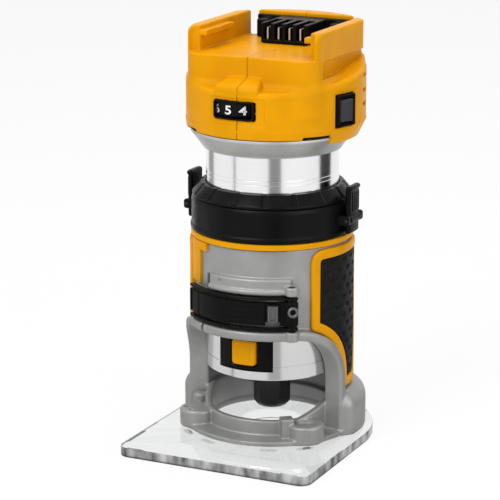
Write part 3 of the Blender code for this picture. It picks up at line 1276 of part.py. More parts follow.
def main():
    """Build the router about its upright motor axis."""
    clear_scene()
    axis = bpy.data.objects.new("motor_axis", None)
    bpy.context.collection.objects.link(axis)
    axis.location = (0.0, AXIS_Y, 0.0)
    make_sub_base(axis)
    make_base_casting(axis)
    for name, side in (("left", -1), ("right", 1)):
        make_grip("grip_" + name, side, axis)
        make_trim("trim_" + name, side, axis)
    make_sleeve_rings(axis)
    make_tabs(axis)
    make_clamp(axis)
    make_tube(axis)
    make_spindle_lock(axis)
    make_spindle(axis)
    make_motor_inside(axis)
    make_housing(axis)
    make_terminals(axis)
    make_control(axis)
    make_switch(axis)


main()
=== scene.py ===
"""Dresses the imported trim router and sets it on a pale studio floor.

Shapes are worked out in millimetres about the upright motor axis, with the
front towards -Y and angles counted from the front towards the right. A piece
is moved to the frame's metres when its mesh is made.
"""

import math

import bmesh
import bpy
import numpy as np
from bpy.props import FloatProperty, FloatVectorProperty, IntProperty, PointerProperty
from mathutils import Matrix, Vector


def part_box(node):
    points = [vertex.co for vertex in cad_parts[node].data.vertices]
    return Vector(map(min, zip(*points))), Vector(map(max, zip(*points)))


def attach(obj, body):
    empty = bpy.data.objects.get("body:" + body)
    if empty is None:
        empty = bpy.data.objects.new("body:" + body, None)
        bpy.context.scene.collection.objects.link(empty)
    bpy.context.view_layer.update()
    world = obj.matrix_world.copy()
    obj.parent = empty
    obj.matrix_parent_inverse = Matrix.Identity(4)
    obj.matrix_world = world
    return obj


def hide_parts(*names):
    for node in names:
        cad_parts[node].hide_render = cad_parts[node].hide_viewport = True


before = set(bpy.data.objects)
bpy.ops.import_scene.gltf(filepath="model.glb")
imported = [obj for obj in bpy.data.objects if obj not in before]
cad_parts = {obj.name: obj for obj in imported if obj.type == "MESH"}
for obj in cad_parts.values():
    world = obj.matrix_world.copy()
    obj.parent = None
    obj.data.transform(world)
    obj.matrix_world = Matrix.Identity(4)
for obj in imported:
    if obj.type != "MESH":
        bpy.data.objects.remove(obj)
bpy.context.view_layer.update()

bl_info = {
    "name": "Trim router",
    "version": (1, 0, 0),
    "blender": (4, 5, 0),
    "location": "View3D > Sidebar > Router",
    "description": "Builds the dressed trim router over its packed solids",
    "category": "Object",
}

# Places and sizes that pieces share, in millimetres about the motor axis and in degrees
AXIS = np.array((0.0, 10.0, 0.0))
SIDES = (("left", -1), ("right", 1))

# Plate and casting
CUTTER_HOLE = 16.5
SCREW_CIRCLE = 40.5
SCREW_ANGLES = (-51.0, 51.0, 129.0, -129.0)
SLOT_CIRCLE = 48.0
SLOT_ANGLES = (-41.0, -19.0, 23.0, 46.0)
FOOT_BOTTOM = 5.8
FOOT_BORE = 32.15
POST_ANGLE = 37.0
BORE = 35.15
SLEEVE_TOP = 109.0
WINDOW_TOP = 62.0
WINDOW_ANGLE = 77.0
ARCH = 27.0

# Grips, rings and tabs
GRIP_FRONT = 57.0
GRIP_REAR = 121.0
GRIP_LEAN = 10.0
GRIP_WAIST = 82.0
GRIP_BORDER = 8.0
GRIP_DROP = 2.5
GRIP_TOP = SLEEVE_TOP - 3.6
RING_SLOTS = 16
EAR_MIDDLE = 42.9
TAB_PIN = (45.9, 121.35)
TAB_HOLE = 1.3

# Clamp
HINGE = (27.674, -35.421)
HINGE_HOLE = 1.7
SOCKET_ANGLE = 33.0
SOCKET_HEIGHT = 78.6
SOCKET_HOLE = 1.5
SOCKET_RIM = 2.7
LEVER_GAP = 1.4
LEVER_MIDDLE = 76.8
NUT_ANGLE = 25.5
RIVET_ANGLE = -50.0

# Motor and top housing
LOCK_ANGLE = 26.0
LOCK_LOW = 42.6
LOCK_HIGH = 62.4
DRUM_Y = 4.0
DRUM_EDGE = 170.4
ROOF_FRONT = 189.0
ROOF_SLOPE = 0.149
VENT_LEVELS = (178.7, 186.0, 193.6)
SLOT_FLOOR = 206.0
JOIN_POINTS = ((-20.5, 196.0), (32.0, 196.0), (40.0, 174.5))
DIAL_CENTRE = np.array((-3.479, -27.509, 0.0))
DIAL_RADIUS = 14.5
DIAL_ANGLE = -6.3
DIAL_STEP = 31.0
SWITCH_ANGLE = 74.0
SWITCH_HEIGHT = 179.0


def reach(node):
    """The two corners of a CAD node's box, in millimetres about the motor axis."""
    return [np.array(corner) * 1000.0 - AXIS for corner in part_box(node)]


def span(node):
    """The bottom and the top of a CAD node, in millimetres."""
    return [corner[2] for corner in reach(node)]


def measure(name):
    """One of the sizes that can be set, in millimetres."""
    return getattr(bpy.context.scene.router_sizes, name) * 1000.0


# Sizes, colours and light


class RouterSizes(bpy.types.PropertyGroup):
    """Sizes of the dressed pieces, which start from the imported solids."""

    tube_radius: FloatProperty(
        name="Tube radius", description="Outside radius of the motor tube",
        default=reach("motor_tube")[1][0] / 1000.0, subtype="DISTANCE", unit="LENGTH")
    sleeve_radius: FloatProperty(
        name="Sleeve radius", description="Outside radius of the cast sleeve",
        default=0.04115, subtype="DISTANCE", unit="LENGTH")
    lip_radius: FloatProperty(
        name="Lip radius", description="Outside radius of the thick lip round the window",
        default=0.04555, subtype="DISTANCE", unit="LENGTH")
    drum_radius: FloatProperty(
        name="Drum radius", description="Outside radius of the top housing",
        default=reach("top_housing_right")[1][0] / 1000.0, subtype="DISTANCE", unit="LENGTH")
    plate_thickness: FloatProperty(
        name="Plate thickness", description="Thickness of the clear sub-base",
        default=reach("sub_base")[1][2] / 1000.0, subtype="DISTANCE", unit="LENGTH")
    dimple_depth: FloatProperty(
        name="Dimple depth", description="Depth of the dimples in the rubber grips",
        default=0.00075, subtype="DISTANCE", unit="LENGTH")
    dial_numbers: IntProperty(
        name="Dial numbers", description="How many speeds are printed on the dial", default=7, min=1, max=9)


class RouterColours(bpy.types.PropertyGroup):
    """Base colours of the finishes."""

    yellow: FloatVectorProperty(
        name="Yellow moulding", description="Housing, trims, rim band and lock button",
        default=(0.72, 0.31, 0.0008), subtype="COLOR")
    casting: FloatVectorProperty(
        name="Casting", description="Satin cast base and motor collar",
        default=(0.31, 0.31, 0.305), subtype="COLOR")
    tube: FloatVectorProperty(
        name="Tube", description="Turned and polished motor tube",
        default=(0.86, 0.86, 0.87), subtype="COLOR")
    black: FloatVectorProperty(
        name="Black moulding", description="Rings, tabs, lever, dial and switch",
        default=(0.0032, 0.0032, 0.0032), subtype="COLOR")
    rubber: FloatVectorProperty(
        name="Rubber", description="Grips", default=(0.008, 0.008, 0.0075), subtype="COLOR")
    acrylic: FloatVectorProperty(
        name="Acrylic", description="Clear sub-base", default=(0.74, 0.75, 0.75), subtype="COLOR")


class RouterStage(bpy.types.PropertyGroup):
    """Camera and light."""

    lens: FloatProperty(
        name="Lens", description="Focal length on a 36 mm sensor", default=158.4, subtype="DISTANCE_CAMERA")
    key_power: FloatProperty(name="Key", description="Lamp at the left front", default=14.0, subtype="POWER")
    fill_power: FloatProperty(name="Fill", description="Lamp at the right", default=5.5, subtype="POWER")
    top_power: FloatProperty(name="Top", description="Lamp overhead", default=8.5, subtype="POWER")
    surround: FloatProperty(name="Surround", description="Soft light from all round", default=0.36, min=0.0)
    floor: FloatVectorProperty(
        name="Floor", description="Colour of the floor", default=(0.90, 0.90, 0.90), subtype="COLOR")


# Surfaces


def polar(radius, degrees, height):
    """Points at a radius, an angle from the front towards the right, and a height."""
    angle = np.radians(degrees)
    radius, angle, height = np.broadcast_arrays(radius, angle, height)
    return np.stack((radius * np.sin(angle), -radius * np.cos(angle), height), -1)


def arc(degrees, radius):
    """The length of an arc."""
    return math.radians(degrees) * radius


def whole_turn(count):
    """Evenly spaced angles all the way round."""
    return np.linspace(0.0, 360.0, count, endpoint=False)


def grid_faces(rows, columns, wrap_rows=False, wrap_columns=False):
    """Quads between neighbours of a grid of points, joined at the far edges where it wraps."""
    i = np.arange(rows if wrap_rows else rows - 1)[:, None]
    j = np.arange(columns if wrap_columns else columns - 1)[None, :]
    right, up = (j + 1) % columns, (i + 1) % rows
    corners = (i * columns + j, i * columns + right, up * columns + right, up * columns + j)
    return np.stack([np.broadcast_to(corner, (i.size, j.size)) for corner in corners], -1).reshape(-1, 4)


def sheet(points, wrap_rows=False, wrap_columns=True):
    """A grid of points as a list of points and the quads between them."""
    return points.reshape(-1, 3), grid_faces(*points.shape[:2], wrap_rows, wrap_columns)


def rounded(corners, radius, steps=6):
    """Closed outline whose corners become arcs.

    With a and c a radius away from the corner b along its sides, the arc is
    (1-t)^2 a + 2t(1-t) b + t^2 c for t from 0 to 1.
    """
    b = np.array(corners, float)
    back, ahead = np.roll(b, 1, 0) - b, np.roll(b, -1, 0) - b
    back_length = np.linalg.norm(back, axis=1, keepdims=True)
    ahead_length = np.linalg.norm(ahead, axis=1, keepdims=True)
    cut = np.broadcast_to(np.reshape(radius, (-1, 1)), back_length.shape)
    cut = np.minimum(cut, 0.49 * np.minimum(back_length, ahead_length))
    a, c = b + back / back_length * cut, b + ahead / ahead_length * cut
    t = np.linspace(0.0, 1.0, steps)[None, :, None]
    arcs = (1 - t) ** 2 * a[:, None] + 2 * t * (1 - t) * b[:, None] + t ** 2 * c[:, None]
    return arcs.reshape(-1, 2)


def evenly(path, count):
    """A closed path drawn again with evenly spaced points, by its length so far."""
    ring = np.vstack((path, path[:1]))
    step = np.linalg.norm(np.diff(ring, axis=0), axis=1)
    keep = np.concatenate(([True], step > 1e-6))
    ring, length = ring[keep], np.concatenate(([0.0], np.cumsum(step)))[keep]
    at = np.linspace(0.0, length[-1], count, endpoint=False)
    return np.stack([np.interp(at, length, ring[:, k]) for k in (0, 1)], -1)


def revolve(profile, count=160, radius=None):
    """A closed outline of (radius, height) carried round the motor axis: x = r sin a, y = -r cos a.

    A grid of radii, one for each point and angle, can take the place of the outline's own.
    """
    radius = profile[:, :1] if radius is None else radius
    return sheet(polar(radius, whole_turn(count), profile[:, 1:]), True)


def arc_sweep(profile, start, end, count):
    """A closed outline of (radius, height) carried along an arc, its ends closed by shrunken copies."""
    turn = np.linspace(start, end, count)
    middle = profile.mean(0)
    caps = np.concatenate(([0.0], np.ones(count), [0.0]))
    outline = middle + (profile[None] - middle) * caps[:, None, None]
    turn = np.concatenate((turn[:1], turn, turn[-1:]))
    return sheet(polar(outline[..., 0], turn[:, None], outline[..., 1]))


def box_loop(half_width, half_height, corner):
    """Rounded rectangle: four quarter circles with evenly spaced points on the sides between them."""
    centre = np.array(((1, 1), (-1, 1), (-1, -1), (1, -1))) * (half_width - corner, half_height - corner)
    angle = np.linspace(0.0, np.pi / 2, 7)[None, :] + np.arange(4)[:, None] * np.pi / 2
    arcs = centre[:, None] + corner * np.stack((np.cos(angle), np.sin(angle)), -1)
    share = np.linspace(0.0, 1.0, 8)[1:-1][None, :, None]
    sides = arcs[:, -1:] * (1 - share) + np.roll(arcs, -1, 0)[:, :1] * share
    return np.concatenate((arcs, sides), 1).reshape(-1, 2)


def loft(rows, wrap, closed=False):
    """A skin through rounded rectangles of (half width, half height, corner, out), laid on a surface by wrap.

    An open skin is capped by its end loops drawn in to their middles.
    """
    loops = np.array([np.insert(box_loop(*row[:3]), 2, row[3], axis=1) for row in rows])
    if not closed:
        middles = loops[[0, -1]].mean(1, keepdims=True)
        shrunk = [middles + (loops[[0, -1]] - middles) * share for share in (0.0, 0.35, 0.7)]
        loops = np.concatenate([ends[:1] for ends in shrunk] + [loops] + [ends[1:] for ends in shrunk[::-1]])
    return sheet(wrap(*np.moveaxis(loops, -1, 0)), closed)


def on_cylinder(radius, degrees, height, back=0.0):
    """Lays (along, up, out) on an upright cylinder: the angle is along / radius."""
    def wrap(along, up, out):
        return polar(radius + out, degrees + np.degrees(along / radius), height + up) + (0.0, back, 0.0)
    return wrap


def on_plane(degrees, distance, height, back=0.0, tilt=0.0):
    """Lays (along, up, out) on an upright plane that faces an angle, tipped about its own upright line."""
    outward = polar(1.0, degrees, 0.0)
    sideways = polar(1.0, degrees + 90.0, 0.0)
    turn = math.radians(tilt)

    def wrap(along, up, out):
        tipped = along * math.cos(turn) - out * math.sin(turn)
        forward = along * math.sin(turn) + out * math.cos(turn)
        point = sideways * tipped[..., None] + outward * (distance + forward)[..., None]
        return point + np.stack((np.zeros_like(up), np.full_like(up, back), height + up), -1)
    return wrap


def through(radius, height):
    """Lays (along, up, out) on the front of an upright cylinder with its sides along Y, so that it can slide."""
    def wrap(along, up, out):
        return np.stack((along, -np.sqrt((radius + out) ** 2 - along ** 2), height + up), -1)
    return wrap


def peg(outline, start, end, count=28):
    """A straight turned piece: an outline of (radius, distance) carried round the line from start to end."""
    start, end = np.array(start, float), np.array(end, float)
    along = (end - start) / np.linalg.norm(end - start)
    side = np.cross(along, (0.3, 0.5, 0.81))
    side /= np.linalg.norm(side)
    other = np.cross(along, side)
    turn = np.linspace(0.0, 2 * np.pi, count, endpoint=False)
    spoke = np.cos(turn)[:, None] * side + np.sin(turn)[:, None] * other
    outline = np.array(outline, float)
    return sheet(start + outline[:, None, 1:] * along + outline[:, None, :1] * spoke[None])


def merged(*parts):
    """Several surfaces as one set of points and faces."""
    counts = np.cumsum([0] + [len(points) for points, _ in parts])
    faces = [faces + start for (_, faces), start in zip(parts, counts)]
    return np.vstack([points for points, _ in parts]), np.vstack(faces)


# Solids as distance fields: a value below nought is inside


def both(a, b, radius=0.0):
    """What lies in both fields, with the edge between them rounded to a radius."""
    return np.minimum(-radius, np.maximum(a, b)) + np.hypot(np.maximum(radius + a, 0), np.maximum(radius + b, 0))


def either(a, b, radius=0.0):
    """What lies in either field, with a fillet of a radius between them."""
    return np.maximum(radius, np.minimum(a, b)) - np.hypot(np.maximum(radius - a, 0), np.maximum(radius - b, 0))


def without(a, b, radius=0.0):
    """The first field with the second cut away, with the new edge rounded to a radius."""
    return both(a, -b, radius)


def between(value, low, high):
    """A slab between two levels."""
    return np.maximum(low - value, value - high)


def fade(value, start, run):
    """Nought up to a start, then rising to one along a run. A run below nought falls from one."""
    return np.clip((value - start) / run, 0.0, 1.0)


def facing(x, y, degrees):
    """Distances across and along a direction that is given by its angle from the front."""
    turn = math.radians(degrees)
    return x * math.cos(turn) + y * math.sin(turn), x * math.sin(turn) - y * math.cos(turn)


def skin(field, xs, ys, zs):
    """The surface where a field is nought, on a grid of points.

    Each cell that the surface crosses gets one point, the mean of its edge
    crossings, which then moves down the field's slope on to the surface. Each
    crossed grid line gets a quad between the points of its four cells. This
    stands in for a surface of two parameters where cast and moulded solids run
    into one another with fillets.
    """
    values = field(*np.meshgrid(xs, ys, zs, indexing="ij"))
    inside = values < 0.0
    offsets = np.array([(i, j, k) for i in (0, 1) for j in (0, 1) for k in (0, 1)])
    size = np.array(values.shape) - 1
    filled = sum(inside[i:i + size[0], j:j + size[1], k:k + size[2]].astype(np.int8) for i, j, k in offsets)
    active = (filled > 0) & (filled < 8)
    number = np.full(active.shape, -1)
    number[active] = np.arange(active.sum())
    at = np.argwhere(active)[:, None, :] + offsets[None]
    value = values[at[..., 0], at[..., 1], at[..., 2]]
    place = np.stack((xs[at[..., 0]], ys[at[..., 1]], zs[at[..., 2]]), -1)
    pairs = np.array([(a, a | bit) for a in range(8) for bit in (1, 2, 4) if not a & bit])
    near, far = value[:, pairs[:, 0]], value[:, pairs[:, 1]]
    crossed = (near < 0) != (far < 0)
    share = np.where(crossed, near / np.where(near == far, 1.0, near - far), 0.0)[..., None]
    crossing = place[:, pairs[:, 0]] * (1 - share) + place[:, pairs[:, 1]] * share
    points = (crossing * crossed[..., None]).sum(1) / crossed.sum(1, keepdims=True)
    limit = 0.5 * (place[:, 7] - place[:, 0])
    start, probe = points.copy(), 0.02
    for _ in range(3):
        level = field(*points.T)
        slope = np.stack([field(*(points + step).T) - field(*(points - step).T) for step in np.eye(3) * probe], -1)
        slope /= 2 * probe
        move = slope * (level / np.maximum((slope ** 2).sum(1), 0.05))[:, None]
        points = start + np.clip(points - move - start, -limit, limit)
    quads = []
    for axis in range(3):
        turned = np.moveaxis(inside, (axis, (axis + 1) % 3, (axis + 2) % 3), (0, 1, 2))
        cells = np.moveaxis(number, (axis, (axis + 1) % 3, (axis + 2) % 3), (0, 1, 2))
        line = np.argwhere(turned[:-1, 1:-1, 1:-1] != turned[1:, 1:-1, 1:-1])
        i, j, k = line[:, 0], line[:, 1] + 1, line[:, 2] + 1
        quad = np.stack((cells[i, j - 1, k - 1], cells[i, j, k - 1], cells[i, j, k], cells[i, j - 1, k]), -1)
        quads.append(np.where(turned[i, j, k][:, None], quad, quad[:, ::-1]))
    return points, np.vstack(quads)


def levels(*spans):
    """Grid levels with their own step in each span: (start, step), ..., end."""
    runs = [np.arange(start, following, step) for (start, step), following in
            zip(spans[:-1], [span[0] if isinstance(span, tuple) else span for span in spans[1:]])]
    return np.concatenate(runs + [np.array([spans[-1]])])


def new_mesh(name, surface, clean=True):
    """A mesh from a surface. Cleaning joins doubled points and turns the faces outwards."""
    points, faces = surface
    mesh = bpy.data.meshes.new(name)
    mesh.vertices.add(len(points))
    mesh.vertices.foreach_set("co", ((points + AXIS) * 0.001).astype(np.float32).ravel())
    mesh.loops.add(faces.size)
    mesh.loops.foreach_set("vertex_index", faces.astype(np.int32).ravel())
    mesh.polygons.add(len(faces))
    mesh.polygons.foreach_set("loop_start", np.arange(0, faces.size, faces.shape[1], dtype=np.int32))
    mesh.update(calc_edges=True)
    if clean:
        work = bmesh.new()
        work.from_mesh(mesh)
        bmesh.ops.remove_doubles(work, verts=work.verts, dist=2e-6)
        bmesh.ops.dissolve_degenerate(work, edges=work.edges, dist=1e-6)
        bmesh.ops.recalc_face_normals(work, faces=work.faces)
        work.to_mesh(mesh)
        work.free()
    return mesh


def add_object(name, data):
    """An object for some data, linked to the scene."""
    item = bpy.data.objects.new(name, data)
    bpy.context.scene.collection.objects.link(item)
    return item


def applied_mesh(item):
    """An object's mesh with its modifiers or its curve settings applied."""
    return bpy.data.meshes.new_from_object(item.evaluated_get(bpy.context.evaluated_depsgraph_get()))


def make_piece(name, surface, finish, body, node=None, sharp=40.0, clean=True):
    """Puts a surface into a mesh object that rides on a body and stands for its CAD node."""
    mesh = new_mesh(name, surface, clean)
    mesh.polygons.foreach_set("use_smooth", np.ones(len(mesh.polygons), bool))
    mesh.set_sharp_from_angle(angle=math.radians(sharp))
    mesh.validate()
    mesh.materials.append(FINISHES[finish])
    piece = add_object(name, mesh)
    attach(piece, body)
    if node:
        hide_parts(node)
    return piece


def make_solid(name, field, grid, finish, body, node):
    """A piece whose surface is the skin of a field on a grid of levels."""
    return make_piece(name, skin(field, *grid), finish, body, node, sharp=50.0, clean=False)


# Finishes


FINISHES = {}


def add_node(tree, kind, inputs, **settings):
    """A node with its settings. An input takes a plain value or a link from another node."""
    node = tree.nodes.new("ShaderNode" + kind)
    for name, value in settings.items():
        setattr(node, name, value)
    for name, value in inputs.items():
        if isinstance(value, bpy.types.NodeSocket):
            tree.links.new(value, node.inputs[name])
        else:
            node.inputs[name].default_value = value
    return node


def coordinates(tree, scale):
    """Object coordinates, scaled along each axis."""
    place = add_node(tree, "TexCoord", {}).outputs["Object"]
    return add_node(tree, "Mapping", {"Vector": place, "Scale": scale}).outputs["Vector"]


def noise(tree, scale, detail=3.0, stretch=(1.0, 1.0, 1.0)):
    """Cloudy noise on Object coordinates, with the coordinates stretched first."""
    inputs = {"Vector": coordinates(tree, stretch), "Scale": scale, "Detail": detail}
    return add_node(tree, "TexNoise", inputs).outputs["Fac"]


def ramp(tree, source, low, high, start=0.35, end=0.65):
    """Blends from one colour or level to another as the source rises from start to end."""
    node = add_node(tree, "ValToRGB", {"Fac": source})
    for element, position, value in zip(node.color_ramp.elements, (start, end), (low, high)):
        element.position = position
        element.color = (*value, 1.0) if isinstance(value, tuple) else (value, value, value, 1.0)
    return node.outputs["Color"]


def node_material(name, values):
    """A node material with values set on its shader's sockets, its tree and its shader."""
    material = bpy.data.materials.new(name)
    material.use_nodes = True
    tree = material.node_tree
    shader = tree.nodes["Principled BSDF"]
    for socket, value in values.items():
        shader.inputs[socket].default_value = value
    return material, tree, shader


def new_finish(name, values, tone=None, rough=None, grain=None):
    """A node material whose tone, roughness and grain follow noise on Object coordinates.

    Tone and roughness are (noise, low, high, start, end) and grain is (noise,
    strength, distance), where noise is (scale, detail, stretch).
    """
    material, tree, shader = node_material(name, values)
    for socket, channel in (("Base Color", tone), ("Roughness", rough)):
        if channel:
            tree.links.new(ramp(tree, noise(tree, *channel[0]), *channel[1:]), shader.inputs[socket])
    if grain:
        inputs = {"Height": noise(tree, *grain[0]), "Strength": grain[1], "Distance": grain[2]}
        tree.links.new(add_node(tree, "Bump", inputs).outputs["Normal"], shader.inputs["Normal"])
    return material


def shaded(colour, factor):
    """A colour made darker or lighter by a factor."""
    return tuple(min(channel * factor, 1.0) for channel in colour)


def moulded(name, colour, rough, grain=0.12, spread=0.06, shine=0.12):
    """Moulded plastic: faint cloudy colour, uneven gloss and a fine spark-eroded grain."""
    return new_finish(
        name, {"Specular IOR Level": shine}, ((55.0,), shaded(colour, 0.94), shaded(colour, 1.04)),
        ((160.0,), rough - spread, rough + spread), ((2600.0, 2.0), grain, 0.00012))


def cast_metal(name, colour, rough, metallic):
    """Satin die casting: mottled tone, uneven gloss and a fine blasted grain."""
    return new_finish(
        name, {"Metallic": metallic}, ((90.0, 5.0), shaded(colour, 0.93), shaded(colour, 1.06)),
        ((700.0,), rough - 0.05, rough + 0.07), ((1900.0, 3.0), 0.16, 0.00014))


def turned_metal(name, colour, rough):
    """Turned metal: fine rings round the axis, from noise that is squeezed along Z."""
    rings = (3.0, 4.0, (1.0, 1.0, 900.0))
    return new_finish(
        name, {"Metallic": 1.0}, (rings, shaded(colour, 0.95), shaded(colour, 1.02)), (rings, rough, rough + 0.08),
        (rings, 0.05, 0.00005))


def plated_metal(name, colour, rough, metallic=1.0):
    """Plated or oxide steel: fine scratches along Z and a cloudy tone."""
    scratches = (240.0, 4.0, (6.0, 6.0, 1.0))
    return new_finish(
        name, {"Metallic": metallic}, (scratches, shaded(colour, 0.86), shaded(colour, 1.06)),
        ((400.0,), rough - 0.06, rough + 0.1), (scratches, 0.06, 0.00006))


def clear_acrylic(name, colour):
    """Clear sheet with polished faces and faint wipe marks."""
    return new_finish(
        name, {"Base Color": (*colour, 1.0), "Transmission Weight": 1.0, "IOR": 1.49},
        rough=((40.0, 4.0, (1.0, 5.0, 1.0)), 0.01, 0.05), grain=((60.0, 2.0), 0.01, 0.0001))


def sawn_acrylic(name):
    """The sheet's sawn edge: upright grey streaks, darkened towards the floor by a painted contact shadow."""
    streaks = (170.0, 5.0, (1.0, 1.0, 0.35))
    material = new_finish(name, {"Specular IOR Level": 0.4}, rough=(streaks, 0.10, 0.30))
    tree = material.node_tree
    # Painted shadow: the bottom 1.7 mm or so of the edge is darkened, most at the floor, standing in for the contact
    # shadow there.
    height = add_node(tree, "SeparateXYZ", {"Vector": coordinates(tree, (0.0, 0.0, 180.0))}).outputs["Z"]
    streak = ramp(tree, noise(tree, *streaks), 0.07, 0.50, 0.33, 0.66)
    inputs = {"Factor": 1.0, 6: streak, 7: ramp(tree, height, 0.22, 1.0, 0.10, 0.30)}
    streaks_and_painted_shadow = add_node(tree, "Mix", inputs, data_type="RGBA", blend_type="MULTIPLY")
    tree.links.new(streaks_and_painted_shadow.outputs[2], tree.nodes["Principled BSDF"].inputs["Base Color"])
    return material


def printed(name, colour):
    """Printed ink: slightly uneven cover."""
    return new_finish(name, {"Roughness": 0.5}, ((900.0, 3.0), shaded(colour, 0.9), colour))


def wound_copper(name):
    """Enamelled winding: ridges of wire round the axis."""
    strands = (6.0, 3.0, (1.0, 1.0, 260.0))
    return new_finish(
        name, {"Metallic": 0.9, "Roughness": 0.35}, (strands, (0.40, 0.14, 0.05), (0.66, 0.30, 0.14)),
        grain=(strands, 0.5, 0.0003))


def circuit_board(name):
    """Lacquered board: dark green with fine lighter tracks from a narrow band of noise."""
    tracks = (300.0, 1.0)
    return new_finish(
        name, {"Roughness": 0.4}, (tracks, (0.010, 0.10, 0.035), (0.03, 0.22, 0.08), 0.49, 0.52),
        grain=(tracks, 0.2, 0.0001))


def make_finishes(colours):
    """All finishes, made once from the colours."""
    yellow, black = tuple(colours.yellow), tuple(colours.black)
    FINISHES.update({
        "yellow": moulded("yellow_moulding", yellow, 0.34, shine=0.06),
        "black": moulded("black_moulding", black, 0.30, 0.14, shine=0.09),
        "dial": moulded("dial_moulding", shaded(black, 1.2), 0.5, 0.2),
        "switch": moulded("switch_moulding", (0.035, 0.035, 0.037), 0.4, 0.1, shine=0.25),
        "rubber": moulded("grip_rubber", tuple(colours.rubber), 0.55, 0.5, 0.08),
        "casting": cast_metal("satin_casting", tuple(colours.casting), 0.42, 0.35),
        "collar": cast_metal("collar_casting", shaded(tuple(colours.casting), 1.75), 0.36, 0.7),
        "tube": turned_metal("turned_tube", tuple(colours.tube), 0.13),
        "steel": plated_metal("plated_steel", (0.56, 0.56, 0.57), 0.30),
        "zinc": plated_metal("dull_zinc", (0.17, 0.17, 0.175), 0.36, 0.8),
        "oxide": plated_metal("black_oxide", (0.022, 0.022, 0.023), 0.36, 0.5),
        "laminate": plated_metal("stacked_laminate", (0.05, 0.05, 0.055), 0.5, 0.7),
        "acrylic": clear_acrylic("clear_plate", tuple(colours.acrylic)),
        "sawn": sawn_acrylic("sawn_plate_edge_painted_shadow"),
        "print": printed("white_print", (0.85, 0.85, 0.85)),
        "copper": wound_copper("wound_copper"),
        "board": circuit_board("lacquered_board"),
    })


# Base


def plate_outline():
    """The plate from above: a straight front with round corners and a half circle behind."""
    low, high = reach("sub_base")
    half, front, radius = high[0], low[1], 6.0
    back = np.radians(np.linspace(0.0, 180.0, 90))
    turn = np.linspace(0.0, np.pi / 2, 12)
    rear = half * np.column_stack((np.cos(back), np.sin(back)))
    left = (radius - half, front + radius) - radius * np.column_stack((np.cos(turn), np.sin(turn)))
    right = (half - radius, front + radius) + radius * np.column_stack((np.sin(turn), -np.cos(turn)))
    return evenly(np.vstack((rear, left, right)), 400)


def plate_surface(thickness):
    """The plate: its edge's profile of (share of the way out, inset, height) carried round its outline.

    The inner end of the profile lies on the round cutter hole, so the two faces
    are straight lines between the hole and the outline.
    """
    outline = plate_outline()
    radial = outline / np.linalg.norm(outline, axis=1, keepdims=True)
    edge = 0.7
    ease = edge * 0.3
    profile = np.array((
        (1.0, -edge, 0.0), (1.0, -ease, ease), (1.0, 0.0, edge), (1.0, 0.0, thickness - edge),
        (1.0, -ease, thickness - ease), (1.0, -edge, thickness), (0.66, 0.0, thickness), (0.33, 0.0, thickness),
        (0.0, edge, thickness), (0.0, 0.0, thickness - edge), (0.0, 0.0, edge), (0.0, edge, 0.0),
        (0.33, 0.0, 0.0), (0.66, 0.0, 0.0)))
    share, inset, height = np.moveaxis(profile[:, None, :, None], 2, 0)
    flat = radial * CUTTER_HOLE * (1 - share) + outline * share + radial * inset
    return sheet(np.concatenate((flat, np.broadcast_to(height, flat.shape[:2] + (1,))), -1), True)


def cut_with(piece, surface):
    """Cuts one surface out of a piece for good."""
    mesh = new_mesh("cutter", surface)
    modifier = piece.modifiers.new("cut", "BOOLEAN")
    modifier.operation = "DIFFERENCE"
    modifier.solver = "EXACT"
    modifier.object = add_object("cutter", mesh)
    result = applied_mesh(piece)
    piece.modifiers.clear()
    piece.data = result
    bpy.data.meshes.remove(mesh)


def screw_points():
    """The four plate screws on their circle."""
    return polar(SCREW_CIRCLE, SCREW_ANGLES, 0.0)


class ROUTER_OT_sub_base(bpy.types.Operator):
    """Clear plate with a round cutter hole, four counterbored screw holes and four locating slots"""

    bl_idname = "router.sub_base"
    bl_label = "Sub-base"

    def execute(self, context):
        thickness, sharp = measure("plate_thickness"), 30.0
        plate = make_piece("clear_sub_base", plate_surface(thickness), "acrylic", "base", "sub_base", sharp)
        plate.data.materials.append(FINISHES["sawn"])
        faces = plate.data.polygons
        normal, middle = np.empty((2, len(faces), 3), np.float32)
        faces.foreach_get("normal", normal.ravel())
        faces.foreach_get("center", middle.ravel())
        outer = np.hypot(middle[:, 0], middle[:, 1] - AXIS[1] * 0.001) > 0.03
        faces.foreach_set("material_index", ((np.abs(normal[:, 2]) < 0.9) & outer).astype(np.int32))
        above = thickness + 1.0
        bore = ((0.0, -1.0), (4.1, -1.0), (4.1, 3.1), (2.3, 3.1), (2.3, above), (0.0, above))
        for x, y, _ in screw_points():
            cut_with(plate, peg(bore, (x, y, 0.0), (x, y, 1.0)))
        for turn in SLOT_ANGLES:
            def flat(along, up, out, turn=turn):
                return polar(SLOT_CIRCLE + up, turn + np.degrees(along / SLOT_CIRCLE), out)
            cut_with(plate, loft([(4.6, 1.7, 1.6, out) for out in (-1.0, 3.2)], flat))
        plate.data.set_sharp_from_angle(angle=math.radians(sharp))
        return {"FINISHED"}


def window_field(turn, z, radius):
    """The arched window on the unrolled sleeve: a tall box with round upper corners."""
    return both(np.abs(turn) * radius - arc(WINDOW_ANGLE, radius), z - WINDOW_TOP, ARCH)


def upright(x, y, centre, radius):
    """A round upright bar."""
    return np.hypot(x - centre[0], y - centre[1]) - radius


